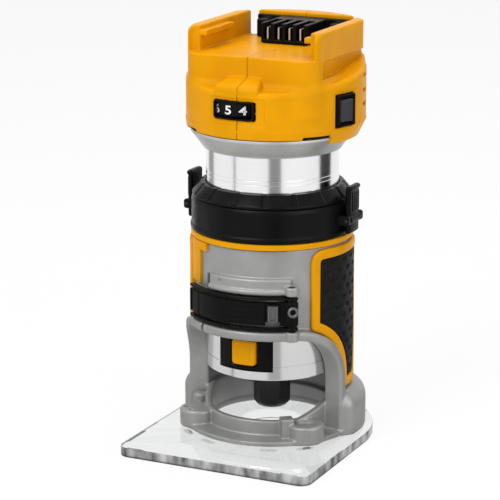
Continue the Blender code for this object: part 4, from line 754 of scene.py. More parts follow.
def casting_field(sleeve, lip):
    """The cast base: sleeve, window lip, foot, shoulders, bosses, clamp lug and hinge ears."""
    screws = screw_points()
    knob, post = polar(38.6, -70.0, 0.0), polar(33.85, POST_ANGLE, 0.0)

    def field(x, y, z):
        out = np.hypot(x, y)
        turn = np.arctan2(x, -y)
        angle = np.abs(np.degrees(turn))
        # Sleeve, thicker round its window
        window = window_field(turn, z, sleeve)
        wall = both(np.maximum(BORE - out, out - sleeve), between(z, 7.0, SLEEVE_TOP), 0.5)
        thick = both(out - lip, either(window - 5.0, z - 28.4, 3.0), 1.6)
        wall = both(either(wall, both(thick, BORE - out, 0.4), 1.2), 7.0 - z)
        wall = without(wall, window, 1.5)
        # Foot: flange, upright rim and rear shoulders
        flange = both(both(out - 46.0, FOOT_BORE - out, 0.4), between(z, FOOT_BOTTOM, 8.3), 0.5)
        rise = np.interp(angle, (0, 48, 82, 112, 140, 180), (0, 0, 7, 7, 0, 0))
        rim = both(both(out - 35.55, FOOT_BORE - out, 0.6), between(z, FOOT_BOTTOM, 16.3 + rise), 0.9)
        along = (np.abs(turn) - math.radians(105.0)) * 46.0
        lobe = both(both(both(out - 50.0, np.abs(along) - 21.5, 6.5), z - 29.0, 9.0), 36.0 - out)
        solid = either(either(flange, rim, 1.0), wall, 1.4)
        solid = either(solid, both(lobe, FOOT_BOTTOM - z, 0.5), 1.6)
        # Bosses at the front screws, a stud and a small post
        left, right = (both(upright(x, y, point, 9.4), between(z, 6.0, 15.8), 1.3) for point in screws[:2])
        right = without(right, both(upright(x, y, screws[1], 5.0), 14.0 - z, 0.5), 0.6)
        solid = either(solid, either(left, right), 1.1)
        stud = both(upright(x, y, knob, 3.6), between(z, 6.0, 19.5), 1.3)
        block = np.maximum(np.abs(facing(x, y, POST_ANGLE)[0]) - 3.3, np.abs(out - 37.4) - 3.5)
        block = np.maximum(np.where(y < 0, block, 9.0), upright(x, y, post, 9.0))
        block = both(block, between(z, 6.0, 18.6), 0.7)
        solid = either(solid, either(stud, block), 0.7)
        # Clamp lug with a mark in it, and the hinge's ears
        proud = sleeve + 2.1 + 1.3 * fade(z, 89.3, -0.9)
        lug = both(np.maximum(out - proud, 38.0 - out), between(z, 86.2, 94.4), 1.2)
        lug = both(lug, between(turn * sleeve, arc(-24.0, sleeve), arc(39.0, sleeve)), 1.6)
        mark = np.hypot((turn - math.radians(-13.5)) * sleeve, z - 91.6) - 0.9
        lug = without(lug, np.maximum(mark, sleeve + 1.2 - out), 0.3)
        solid = either(solid, lug, 0.9)
        ears = np.minimum(between(z, 62.3, 67.4), between(z, 86.5, 91.0))
        solid = either(solid, both(upright(x, y, HINGE, 3.6), ears, 0.6), 0.7)
        # Clamp slit, keyway and holes
        slit = np.maximum(np.abs(turn - math.radians(-28.0)) * sleeve - 0.9, between(z, 59.0, 93.0))
        solid = without(solid, slit, 0.35)
        keyway = np.maximum(np.maximum(out - 37.75, angle * 0.63 - 8.9), 30.0 - z)
        solid = without(solid, keyway, 0.2)
        holes = np.minimum.reduce([upright(x, y, point, 2.3) for point in screws])
        solid = without(solid, np.maximum(holes, z - 8.6))
        solid = without(solid, np.maximum(upright(x, y, HINGE, HINGE_HOLE), 63.6 - z))
        eyes = np.minimum(upright(x, y, (-36.9, -27.9), 1.2), upright(x, y, (-31.9, -32.0), 1.2))
        solid = without(solid, np.maximum(eyes, 11.0 - z), 0.3)
        across, forward = facing(x, y, RIVET_ANGLE)
        return without(solid, np.maximum(np.hypot(across, z - LEVER_MIDDLE) - 1.5, 36.0 - forward))
    return field


class ROUTER_OT_base_casting(bpy.types.Operator):
    """Satin casting that carries everything: foot, columns, sleeve, lug and hinge"""

    bl_idname = "router.base_casting"
    bl_label = "Base casting"

    def execute(self, context):
        field = casting_field(measure("sleeve_radius"), measure("lip_radius"))
        flat = levels((-51.0, 0.72), 51.5)
        up = levels((5.2, 0.6), (31.0, 1.2), (58.0, 0.7), (69.0, 1.3), (84.6, 0.6), (97.0, 1.3), (107.0, 0.5), 109.8)
        make_solid("cast_base", field, (flat, flat, up), "casting", "base", "base_casting")
        return {"FINISHED"}


# Grips and trims


def grip_path(sleeve):
    """The grip's border on the unrolled sleeve.

    It follows an arc about the window's arch, runs straight up, over the top,
    down the rear, which leans forward below the waist, and back along the bottom.
    """
    centre, spring = arc(WINDOW_ANGLE, sleeve) - ARCH, WINDOW_TOP - ARCH
    around, low, high = ARCH + GRIP_BORDER, spring - GRIP_DROP, GRIP_TOP
    front, rear, foot = (arc(angle, sleeve) for angle in (GRIP_FRONT, GRIP_REAR, GRIP_REAR - GRIP_LEAN))
    turn = np.linspace(0.0, math.acos((front - centre) / around), 40)
    bend = np.column_stack((centre + around * np.cos(turn), spring + around * np.sin(turn)))
    corners = np.vstack(((bend[0, 0], low), bend, (front, high), (rear, high), (rear, GRIP_WAIST), (foot, low)))
    radius = np.concatenate(([1.5], np.full(len(bend), 0.2), (5.0, 5.0, 20.0, 1.5)))
    return evenly(rounded(corners, radius), 520)


def trim_surface(side, sleeve):
    """A half-round strip: its profile of (across, up from the sleeve) carried along the grip's border."""
    path = grip_path(sleeve)
    ahead = np.roll(path, -2, 0) - np.roll(path, 2, 0)
    ahead /= np.linalg.norm(ahead, axis=1, keepdims=True)
    across = np.stack((ahead[:, 1], -ahead[:, 0]), -1)
    profile = rounded(((-2.5, 0.1), (-2.5, 1.7), (-1.3, 2.2), (1.3, 2.2), (2.5, 1.7), (2.5, 0.1)),
                      (0.1, 0.7, 1.0, 1.0, 0.7, 0.1), 5)
    flat = path[:, None] + across[:, None] * profile[None, :, :1]
    return sheet(polar(sleeve + profile[None, :, 1], side * np.degrees(flat[..., 0] / sleeve), flat[..., 1]), True)


def grip_surface(side, sleeve, depth):
    """The rubber pad: rows up the border with evenly spaced points across, its edge rolled down.

    Staggered ovals are pressed into it: each sinks by depth times the square
    root of one less the square of the distance from its middle.
    """
    inset, corner = 2.7, 2.3
    spring = WINDOW_TOP - ARCH
    low, high = spring + 0.3, GRIP_TOP - inset
    up = np.linspace(low, high, 230)
    bend = np.sqrt(np.maximum((ARCH + GRIP_BORDER + inset) ** 2 - (up - spring) ** 2, 0.0))
    drawn = corner - np.sqrt(np.maximum(corner ** 2 - np.maximum(up - (high - corner), 0.0) ** 2, 0.0))
    front = np.maximum(arc(WINDOW_ANGLE, sleeve) - ARCH + bend, arc(GRIP_FRONT, sleeve) + inset) + drawn
    lean = GRIP_LEAN * fade(up, GRIP_WAIST, spring - GRIP_DROP - GRIP_WAIST)
    rear = np.radians(GRIP_REAR - lean) * sleeve - inset - drawn
    share = np.linspace(0.0, 1.0, 130)
    along = front[:, None] * (1 - share) + rear[:, None] * share
    height = np.broadcast_to(up[:, None], along.shape)
    edge = np.minimum.reduce((along - front[:, None], rear[:, None] - along, height - low, high - height))
    pitch, rise = 8.4, 5.0
    row = np.round((height - 40.0) / rise)
    shift = along - 52.0 - pitch / 2 * (row % 2)
    oval = np.hypot((shift - np.round(shift / pitch) * pitch) / 2.9, (height - 40.0 - row * rise) / 1.35)
    sunk = depth * np.sqrt(np.maximum(1.0 - oval ** 2, 0.0)) * fade(edge, 1.2, 1.0)
    out = 1.75 - 0.9 * (1.0 - fade(edge, 0.0, 1.4)) ** 2 - sunk
    turn = side * np.degrees(along / sleeve)
    points = [polar(sleeve + level, turn, height).reshape(-1, 3) for level in (out, 0.2)]
    rows, columns = along.shape
    count = rows * columns
    rim = np.concatenate((np.arange(columns), np.arange(1, rows) * columns + columns - 1,
                          count - 2 - np.arange(columns - 1), np.arange(rows - 2, 0, -1) * columns))
    wall = np.stack((rim, np.roll(rim, -1), np.roll(rim, -1) + count, rim + count), -1)
    top = grid_faces(rows, columns)
    return np.vstack(points), np.vstack((top, wall, top[:, ::-1] + count))


def corner_trim_surface(sleeve):
    """Trim at the left front corner: an upright strip and a block at its top, each an outline along an arc."""
    low, high = sleeve + 0.1, sleeve + 1.35
    strip = rounded(((low, 86.4), (high, 86.4), (high, 108.8), (low, 108.8)), 0.5, 5)
    block = rounded(((low, 104.6), (high + 0.25, 104.6), (high + 0.25, 109.0), (low, 109.0)), 0.5, 5)
    return merged(arc_sweep(strip, -52.5, -36.5, 24), arc_sweep(block, -50.0, -28.0, 30))


class ROUTER_OT_grips(bpy.types.Operator):
    """Dimpled rubber grips, the yellow trims round them and the trim at the left front corner"""

    bl_idname = "router.grips"
    bl_label = "Grips"

    def execute(self, context):
        sleeve, depth = measure("sleeve_radius"), measure("dimple_depth")
        for name, side in SIDES:
            pad, trim = grip_surface(side, sleeve, depth), trim_surface(side, sleeve)
            make_piece("rubber_grip_" + name, pad, "rubber", "base", "grip_" + name, 60.0)
            make_piece("grip_trim_" + name, trim, "yellow", "base", "trim_" + name, 50.0)
        make_piece("corner_trim", corner_trim_surface(sleeve), "yellow", "base", sharp=50.0)
        return {"FINISHED"}


# Rings and tabs


def notched_ring(low, high, wide, narrow):
    """The depth ring: a bevelled outline carried round, its slope drawn in at sixteen slots.

    The slope's radius falls by the slot's depth where the angle is within the
    slot, with soft sides, and a little towards each slot, which leaves facets.
    """
    profile = rounded(((BORE, low), (wide, low), (wide, low + 1.3), (narrow + 0.6, high), (BORE, high)),
                      (0.2, 0.4, 0.7, 0.6, 0.2), 6)
    half, first, turn = 180.0 / RING_SLOTS, 19.0, whole_turn(960)
    slot = fade(np.abs((turn - first + half) % (2 * half) - half), 2.1, -0.5)
    facet = 0.22 * (np.abs((turn - first) % (2 * half) - half) / half) ** 2
    share = fade(profile[:, :1], BORE + 0.4, 1.0) * fade(profile[:, 1:], low + 0.9, 0.5)
    return revolve(profile, len(turn), profile[:, :1] - (0.85 * slot + facet) * share)


def ear_surface(side, end):
    """One ear of a tab's hinge: a rounded plate with a hole for the pin, lofted across its thickness."""
    plate = box_loop(4.6, 2.5, 1.3)
    hole = plate / np.linalg.norm(plate, axis=1, keepdims=True) * TAB_HOLE + (TAB_PIN[0] - EAR_MIDDLE, 0.0)
    loops = np.array((hole, plate * 0.94, plate, plate, plate * 0.94, hole))
    across = np.broadcast_to(np.array((6.8, 6.8, 7.1, 9.0, 9.3, 9.3))[:, None], loops.shape[:2])
    return sheet(np.stack((side * (EAR_MIDDLE + loops[..., 0]), end * across, TAB_PIN[1] + loops[..., 1]), -1), True)


class ROUTER_OT_rings(bpy.types.Operator):
    """Yellow rim band, black collar with hinge ears, and the notched depth ring"""

    bl_idname = "router.rings"
    bl_label = "Rings"

    def execute(self, context):
        wide = reach("rim_band")[1][0]
        bottom, top = span("rim_band")
        band = rounded(((BORE, bottom), (wide, bottom), (wide, top), (BORE, top)), (0.2, 0.7, 0.7, 0.2))
        make_piece("yellow_rim_band", revolve(band), "yellow", "base", "rim_band")
        bottom, top = span("ring_collar")
        collar = rounded((
            (BORE, bottom), (wide - 0.5, bottom), (wide + 0.25, bottom + 0.9), (wide + 0.25, bottom + 2.5),
            (wide - 0.35, bottom + 3.1), (wide - 0.35, top - 1.8), (wide - 1.1, top), (BORE, top)),
            (0.2, 0.3, 0.5, 0.4, 0.4, 0.9, 0.7, 0.2))
        ears = [ear_surface(side, end) for side in (-1, 1) for end in (-1, 1)]
        make_piece("black_ring_collar", merged(revolve(collar), *ears), "black", "base", "ring_collar")
        ring = notched_ring(*span("depth_ring"), wide - 0.8, BORE + 1.6)
        make_piece("notched_depth_ring", ring, "black", "depth_ring", "depth_ring", 35.0)
        return {"FINISHED"}


def tab_field(side):
    """A quick-release tab: a curved pad with upright flutes, a lip at its top and a knuckle for its pin."""
    low, high = reach("tab_right")
    half, pitch = 6.5, 2.6

    def field(x, y, z):
        out = side * x
        pin = np.hypot(out - TAB_PIN[0], z - TAB_PIN[1])
        flute = 0.28 * (0.5 + 0.5 * np.cos(y * 2 * np.pi / pitch)) * fade(z, 124.5, 1.5) * fade(z, 135.6, -0.8)
        lip = 0.75 * fade(z, 136.2, 0.9)
        face = out - (high[0] - 1.05 - 0.45 * (y / half) ** 2 + flute + lip)
        pad = both(both(face, low[0] - out, 0.5), np.abs(y) - half, 1.2)
        pad = both(pad, between(z, low[2] + 6.0, high[2]), 1.3)
        knuckle = both(pin - 2.1, np.abs(y) - 6.4, 0.3)
        return without(either(pad, knuckle, 0.6), pin - TAB_HOLE)
    return field


class ROUTER_OT_tabs(bpy.types.Operator):
    """Quick-release tabs on the collar"""

    bl_idname = "router.tabs"
    bl_label = "Tabs"

    def execute(self, context):
        for name, side in SIDES:
            grid = np.sort(side * levels((42.9, 0.3), 49.2)), levels((-7.4, 0.35), 7.6), levels((107.0, 0.3), 139.9)
            make_solid("release_tab_" + name, tab_field(side), grid, "black", "tab_" + name, "tab_" + name)
        return {"FINISHED"}


# Clamp


def lever_field(sleeve):
    """The clamp lever: a bent blade with a sunk panel and a window for the nut, linked to a knuckle."""
    inner = sleeve + LEVER_GAP
    outer = inner + 3.4
    middle = (inner + outer) / 2
    start = polar(middle, 29.0, 0.0)
    link_x, link_y = HINGE - start[:2]
    length, heading = math.hypot(link_x, link_y), math.degrees(math.atan2(link_x, -link_y))

    def field(x, y, z):
        out = np.hypot(x, y)
        along = np.arctan2(x, -y) * middle
        hinge = upright(x, y, HINGE, 0.0)
        # Blade with a sunk panel and a finger groove
        ends = between(along, arc(-45.0, middle), arc(34.5, middle))
        blade = both(both(np.maximum(out - outer, inner - out), between(z, 67.8, 85.8), 0.9), ends, 1.3)
        panel = both(between(along, -24.0, 14.0), between(z, 71.0, 82.6), 1.2)
        lines = 0.05 * np.cos(z * 2 * np.pi / 2.9)
        blade = without(blade, both(panel, outer - 0.35 + lines - out, 0.2), 0.3)
        lip = both(both(between(along, -33.0, -29.5), between(z, 69.6, 84.0), 0.5), outer - 0.7 - out, 0.3)
        blade = without(blade, lip, 0.3)
        # Knuckle on the hinge, and the link to it
        knuckle = both(hinge - 3.3, between(z, 68.1, 85.5), 0.5)
        across, forward = facing(x - start[0], y - start[1], heading)
        link = np.maximum(between(forward, 0.0, length), np.abs(across) - 1.4)
        solid = either(either(blade, knuckle, 0.6), both(link, between(z, 68.4, 85.2), 0.5), 0.6)
        # Window for the nut, socket and grooves of the knuckle, and the pin's hole
        opening = both(np.abs(along - arc(NUT_ANGLE, middle)) - 3.8, np.abs(z - LEVER_MIDDLE) - 5.7, 0.5)
        solid = without(solid, np.maximum(opening, np.abs(out - middle) - 4.0), 0.4)
        across, deep = facing(x - HINGE[0], y - HINGE[1], SOCKET_ANGLE)
        aside = np.hypot(across, z - SOCKET_HEIGHT)
        solid = either(solid, both(aside - SOCKET_RIM, between(deep, 0.0, 4.5), 0.4), 0.4)
        solid = without(solid, np.maximum(aside - SOCKET_HOLE, 3.2 - deep), 0.2)
        bands = np.minimum(between(z, 69.6, 71.0), between(z, 83.0, 84.4))
        solid = without(solid, both(bands, 2.7 - hinge, 0.2), 0.3)
        return without(solid, hinge - HINGE_HOLE)
    return field


class ROUTER_OT_clamp(bpy.types.Operator):
    """Clamp lever on its hinge, the square nut in its window and the ring in its socket"""

    bl_idname = "router.clamp"
    bl_label = "Clamp"

    def execute(self, context):
        sleeve, step = measure("sleeve_radius"), 0.38
        grid = levels((-34.0, step), 33.0), levels((-47.0, step), -27.0), levels((67.1, step), 86.6)
        make_solid("black_clamp_lever", lever_field(sleeve), grid, "black", "clamp_lever", "clamp_lever")
        nut = loft((
            (2.65, 4.5, 0.5, 0.3), (2.65, 4.5, 0.5, 2.3), (2.35, 4.2, 0.7, 2.9), (1.6, 3.4, 0.6, 3.0),
            (1.5, 3.3, 0.5, 2.2)), on_cylinder(sleeve + LEVER_GAP, NUT_ANGLE, LEVER_MIDDLE))
        make_piece("square_clamp_nut", nut, "zinc", "base", "clamp_nut", 30.0)
        hinge = np.array((*HINGE, SOCKET_HEIGHT))
        ring = ((1.5, 3.0), (2.6, 3.0), (2.75, 3.2), (2.75, 4.4), (2.5, 4.6), (1.7, 4.6), (1.5, 4.4), (1.5, 3.0))
        ring = peg(ring, hinge, hinge + polar(1.0, SOCKET_ANGLE, 0.0))
        make_piece("hinge_socket_ring", ring, "zinc", "clamp_lever", sharp=30.0)
        return {"FINISHED"}


# Motor


def tube_surface(radius, low, high):
    """The motor tube: a thin outline carried round, with a window left out for the lock.

    Four fine grooves run round the outside. Cells inside the window are dropped
    and a strip joins the two walls round it.
    """
    def groove(height, depth):
        """The outline of a groove that starts at a height."""
        floor = radius - depth
        return [(radius, height), (floor, height + 0.2), (floor, height + 0.6), (radius, height + 0.8)]

    bore, jamb = radius - 2.2, np.array(groove(45.2, 0.25))
    profile = np.array([
        (radius - 0.5, low), (radius, low + 0.5), (radius, LOCK_LOW), *jamb, (radius, LOCK_HIGH), *groove(63.2, 0.25),
        (radius, 110.0), *groove(141.0, 0.2), *groove(143.2, 0.2), (radius, high),
        (bore, high), (bore, LOCK_HIGH), (bore, LOCK_LOW), (bore, low)])
    sill = np.linspace(-LOCK_ANGLE, LOCK_ANGLE, 27)
    turn = np.concatenate((sill[:-1], np.linspace(LOCK_ANGLE, 360.0 - LOCK_ANGLE, 155)[:-1]))
    points, faces = sheet(polar(profile[:, :1], turn, profile[:, 1:]), True)
    row, column = np.divmod(np.arange(len(faces)), len(turn))
    height = (profile[:, 1] + np.roll(profile[:, 1], -1)) / 2
    open_row = (height > LOCK_LOW) & (height < LOCK_HIGH)
    faces = faces[~(open_row[row] & (column < len(sill) - 1))]
    side, plain = np.full(len(jamb), LOCK_ANGLE), np.full_like(sill, radius)
    angle = np.concatenate((sill, side, sill[::-1], -side))
    level = np.concatenate((np.full_like(sill, LOCK_LOW), jamb[:, 1], np.full_like(sill, LOCK_HIGH), jamb[::-1, 1]))
    outer = np.concatenate((plain, jamb[:, 0], plain, jamb[::-1, 0]))
    return merged((points, faces), sheet(polar(np.stack((outer, np.full_like(outer, bore))), angle, level)))


class ROUTER_OT_motor_tube(bpy.types.Operator):
    """Polished tube and the satin collar above it"""

    bl_idname = "router.motor_tube"
    bl_label = "Motor tube"

    def execute(self, context):
        radius = measure("tube_radius")
        tube = tube_surface(radius, *span("motor_tube"))
        make_piece("polished_motor_tube", tube, "tube", "motor", "motor_tube", 25.0)
        wide = reach("motor_collar")[1][0]
        bottom, top = span("motor_collar")
        cone = rounded((
            (radius + 0.3, bottom), (radius + 1.45, bottom), (radius + 1.8, bottom + 0.8), (wide - 0.4, top - 1.8),
            (wide, top - 1.2), (wide, top), (radius + 0.3, top)), (0.1, 0.3, 0.3, 0.3, 0.3, 0.2, 0.1))
        make_piece("satin_motor_collar", revolve(cone), "collar", "motor", "motor_collar", 30.0)
        return {"FINISHED"}


class ROUTER_OT_spindle_lock(bpy.types.Operator):
    """Black bezel and yellow push button of the spindle lock"""

    bl_idname = "router.spindle_lock"
    bl_label = "Spindle lock"

    def execute(self, context):
        radius = measure("tube_radius")
        low, high = span("lock_bezel")
        tall, middle = (high - low) / 2, (high + low) / 2
        half = radius * math.sin(math.radians(LOCK_ANGLE - 0.5))
        bezel = loft((
            (half, tall, 0.8, -3.2), (half, tall, 0.8, -0.35), (half - 0.3, tall - 0.3, 0.8, -0.05),
            (half - 1.2, tall - 1.1, 0.9, 0.0), (7.9, 7.9, 1.6, 0.0), (7.35, 7.35, 1.5, -0.5), (7.2, 7.2, 1.4, -3.2)),
            through(radius, middle), closed=True)
        make_piece("lock_button_bezel", bezel, "black", "motor", "lock_bezel", 30.0)
        low, high = span("lock_button")
        tall = (high - low) / 2
        pad = loft((
            (6.6, tall, 1.6, -3.0), (6.6, tall, 1.6, 0.5), (6.35, tall - 0.25, 1.7, 1.05),
            (5.7, tall - 0.9, 1.6, 1.35), (4.4, tall - 2.2, 1.4, 1.4), (4.0, tall - 2.6, 1.3, 1.1)),
            through(radius, middle))

        def inward(along, up, out):
            return np.stack((along, out - radius + 3.0, middle + up), -1)
        stem = loft([(2.5, 2.3, 0.4, out) for out in (-1.5, 20.2)], inward)
        make_piece("lock_push_button", merged(pad, stem), "yellow", "lock_button", "lock_button")
        return {"FINISHED"}


def hex_nut_surface(low, high):
    """The collet nut: an outline carried round, its radius held within a hexagon of 17.5 mm across flats.

    The hexagon's radius is half the width over the cosine of the angle from the nearest flat's middle.
    """
    profile = rounded((
        (4.4, low), (7.6, low), (9.8, low + 2.4), (9.8, high - 7.0), (8.9, high - 6.4), (8.9, high - 0.8),
        (8.3, high), (8.0, high), (8.0, low + 2.8), (5.2, low + 2.5)),
        (0.3, 0.9, 0.9, 0.4, 0.2, 0.4, 0.1, 0.1, 0.1, 0.1), 5)
    turn, radius = whole_turn(144), profile[:, :1]
    flat = 8.75 / np.cos(np.radians((turn + 12.0) % 60.0 - 30.0))
    return revolve(profile, len(turn), np.where(radius > 8.2, np.minimum(radius, flat), radius))


class ROUTER_OT_collet_nut(bpy.types.Operator):
    """Black hexagon nut on the collet"""

    bl_idname = "router.collet_nut"
    bl_label = "Collet nut"

    def execute(self, context):
        nut = hex_nut_surface(*span("collet_nut"))
        make_piece("black_collet_nut", nut, "oxide", "spindle", "collet_nut", 25.0)
        return {"FINISHED"}


# Top housing


def housing_field(drum):
    """The top housing: a drum with a sloping roof, the battery block on it, and all its openings."""
    def field(x, y, z):
        back = y - DRUM_Y
        wide, out = np.abs(x), np.hypot(x, back)
        turn = np.arctan2(x, -back)
        angle = np.degrees(turn)
        joins = np.minimum.reduce([np.hypot(y - a, z - b) for a, b in JOIN_POINTS])
        # Drum, drawn in towards its lower edge and cut short at the front
        roof = (z - (ROOF_FRONT + ROOF_SLOPE * (y + 43.0))) * 0.989
        radius = drum - 0.35 * fade(z, DRUM_EDGE, 0.5)
        radius = radius - (0.12 + 0.36 * fade(np.abs(angle), 58.0, 8.0)) * np.maximum(DRUM_EDGE - z, 0.0)
        shell = both(both(out - radius, roof, 2.6), 162.0 - z, 0.5)
        notch = both(np.abs(turn) * drum - arc(63.0, drum), z - 166.0, 0.6)
        shell = without(shell, notch, 0.5)
        # Battery block, and the pad over the dial
        plan = both(both(wide - 37.0, -30.5 - y, 8.0), out - (drum - 0.4), 1.0)
        tip = 1.1 + 4.4 * fade(y, -18.0, -9.0)
        body = either(shell, both(both(plan, z - 219.0, tip), 178.0 - z), 3.6)
        pad = both(np.abs(turn + math.radians(2.25)) * drum - 13.2, out - (drum - 0.6), 2.0)
        pad = both(pad, z - (192.4 + 0.32 * (46.0 - out)), 2.2)
        body = either(body, both(pad, 180.0 - z), 0.8)
        # Room inside, with bosses for the screws
        hollow = both(both(out - (radius - 1.9), roof + 3.2, 1.5), 160.0 - z)
        room = np.maximum.reduce((wide - 32.3, -27.3 - y, out - 43.8, z - 203.0, 168.0 - z))
        body = without(body, np.minimum(hollow, room))
        bosses = np.maximum(np.maximum(joins - 4.5, out - (radius - 0.8)), np.minimum(plan + 2.6, roof + 1.0))
        body = np.minimum(body, bosses)
        # Battery slot with wavy rails, finger scoops and grooves under its walls
        slot = both(both(wide - 30.8, y - 41.0, 1.0), SLOT_FLOOR - z, 0.9)
        body = without(body, slot, 0.8)
        rail = both(both(27.3 - wide, wide - 32.0), between(z, 213.5, 216.5), 0.5)
        wave = 0.5 * np.cos((y + 22.5) * 2 * np.pi / 17.0)
        rail = both(np.maximum(rail, 27.6 - wave - wide), between(y, -22.5, 11.5), 1.0)
        body = either(body, rail, 0.4)
        scoop = np.maximum(np.hypot(wide - 29.6, y + 27.0) - 5.4, SLOT_FLOOR - z)
        body = without(body, scoop, 0.9)
        under = both(both(34.5 - wide, -19.5 - y, 0.5), between(z, 195.5, 204.0), 0.8)
        body = without(body, both(under, 0.2 - roof, 0.4), 0.5)
        # Recess and opening of the dial
        across, forward = facing(x, back, DIAL_ANGLE)
        recess = both(both(np.abs(across - 4.2) - 15.0, np.abs(z - 180.2) - 6.9, 2.2), drum - 0.85 - out, 0.3)
        body = without(body, np.maximum(recess, 30.0 - forward), 0.4)
        opening = both(np.abs(across - 2.8) - 11.9, np.abs(z - 180.6) - 4.9, 1.2)
        body = without(body, np.maximum(opening, 36.0 - forward), 0.3)
        # Facet and opening of the switch
        across, forward = facing(x, back, SWITCH_ANGLE)
        across, up = np.abs(across), np.abs(z - SWITCH_HEIGHT)
        facet = both(both(across - 8.6, up - 10.2, 1.6), drum - 0.9 - forward, 0.3)
        body = without(body, np.maximum(facet, 30.0 - forward), 0.4)
        opening = both(across - 7.3, up - 8.5, 0.6)
        body = without(body, np.maximum(opening, 36.0 - forward), 0.25)
        # Gaps in the lower edge, vents and screw holes
        gaps = np.minimum(between(angle, 42.0, 62.0), between(angle, -50.0, -36.0)) * math.radians(drum)
        gaps = both(both(gaps, between(z, 165.0, 167.5), 0.3), 43.4 - out)
        body = without(body, gaps, 0.2)
        vents = np.minimum.reduce([np.abs(z - level) - 1.1 for level in VENT_LEVELS])
        vents = both(both(between(np.abs(angle), 98.5, 112.5) * math.radians(drum), vents, 1.0), 40.0 - out)
        body = without(body, vents, 0.4)
        body = without(body, np.maximum(joins - 3.3, x + 9.0), 0.4)
        return without(body, np.maximum(joins - 1.9, x - 11.3))
    return field


class ROUTER_OT_top_housing(bpy.types.Operator):
    """The two yellow halves of the top housing"""

    bl_idname = "router.top_housing"
    bl_label = "Top housing"

    def execute(self, context):
        whole, step = housing_field(measure("drum_radius")), 0.6
        ys, zs = levels((-44.2, step), 52.3), levels((161.0, step), 220.3)
        for name, side in SIDES:
            def half(x, y, z, side=side):
                return both(whole(x, y, z), 0.03 - side * x, 0.1)
            grid = np.sort(side * levels((-0.7, step), 48.3)), ys, zs
            make_solid("yellow_housing_" + name, half, grid, "yellow", "motor", "top_housing_" + name)
        return {"FINISHED"}


def terminal_field(x, y, z):
    """The terminal block: a block with four blade slots, corner posts, and a liner along the slot's back."""
    block = both(both(np.abs(x) - 13.0, between(y, 12.7, 40.7), 0.7), between(z, 206.3, 216.8), 0.7)
    posts = both(both(np.abs(np.abs(x) - 21.0) - 2.6, between(y, 30.0, 38.5), 0.6), between(z, 206.3, 215.6), 0.6)
    liner = both(both(np.abs(x) - 26.7, between(y, 37.7, 40.75), 0.5), between(z, 206.6, 217.1), 0.6)
    solid = either(either(block, liner, 0.8), posts, 0.6)
    place = np.abs(np.abs(np.abs(x) - 6.2) - 3.1)
    slots = np.maximum.reduce((place - 2.0, y - 28.7, 208.2 - z))
    return without(solid, slots, 0.4)


class ROUTER_OT_terminal_block(bpy.types.Operator):
    """Battery terminal block at the back of the slot"""

    bl_idname = "router.terminal_block"
    bl_label = "Terminal block"

    def execute(self, context):
        grid = levels((-29.5, 0.45), 29.6), levels((11.9, 0.45), 41.7), levels((205.6, 0.4), 217.9)
        make_solid("black_terminal_block", terminal_field, grid, "black", "motor", "terminal_block")
        return {"FINISHED"}


# Dial and switch


def dial_surface(low, high):
    """The dial: a rounded disc whose rim is drawn in at fine finger notches by a cosine of the angle."""
    profile = rounded((
        (2.8, low), (DIAL_RADIUS, low), (DIAL_RADIUS, high), (0.001, high), (0.001, high - 2.1), (2.8, high - 2.1)),
        (0.1, 0.7, 0.7, 0.0, 0.0, 0.1), 6)
    turn, radius = whole_turn(360), profile[:, :1]
    edge = np.clip(np.abs(profile[:, 1:] - (low + high) / 2) - 2.9, 0.0, 1.0) * (radius > 13.0)
    notch = 0.45 * np.clip(np.cos(np.radians(turn * 60.0)), 0.0, 1.0)
    points, faces = revolve(profile, len(turn), radius - edge * notch)
    return points + DIAL_CENTRE, faces


def number_mesh(text):
    """A numeral as flat points and triangles, centred on its own box."""
    curve = bpy.data.curves.new("numeral", "FONT")
    curve.body = text
    curve.size = 6.2
    curve.resolution_u = 5
    curve.offset = 0.12
    mesh = applied_mesh(add_object("numeral", curve))
    mesh.calc_loop_triangles()
    points = np.array([vertex.co for vertex in mesh.vertices])
    faces = np.array([triangle.vertices for triangle in mesh.loop_triangles])
    bpy.data.curves.remove(curve)
    bpy.data.meshes.remove(mesh)
    return points - (points.max(0) + points.min(0)) / 2, faces


def dial_numbers_surface(count, height):
    """Numerals on the dial's rim, a step apart, with the fifth facing out: the angle is x / radius."""
    numerals = []
    for number in range(1, count + 1):
        flat, faces = number_mesh(str(number))
        wrap = on_cylinder(DIAL_RADIUS + 0.12, DIAL_ANGLE + (5 - number) * DIAL_STEP, height)
        numerals.append((wrap(flat[:, 0] * 1.35, flat[:, 1], flat[:, 2]) + DIAL_CENTRE, faces))
    return merged(*numerals)


class ROUTER_OT_speed_dial(bpy.types.Operator):
    """Speed dial with plain numbers, and the black frame of its window"""

    bl_idname = "router.speed_dial"
    bl_label = "Speed dial"

    def execute(self, context):
        low, high = span("speed_dial")
        middle = (low + high) / 2
        make_piece("black_speed_dial", dial_surface(low, high), "dial", "speed_dial", "speed_dial", 35.0)
        numbers = dial_numbers_surface(context.scene.router_sizes.dial_numbers, middle - 0.6)
        make_piece("dial_numbers", numbers, "print", "speed_dial", sharp=30.0, clean=False)
        window = loft((
            (11.7, 4.75, 1.2, -1.6), (11.7, 4.75, 1.2, -0.1), (11.45, 4.5, 1.2, 0.2), (11.1, 4.2, 1.1, 0.25),
            (10.8, 3.95, 1.0, 0.0), (10.75, 3.9, 1.0, -1.6)),
            on_cylinder(measure("drum_radius"), -2.9, middle - 0.7, DRUM_Y), closed=True)
        make_piece("dial_window_frame", window, "black", "motor", "dial_bezel", 30.0)
        return {"FINISHED"}


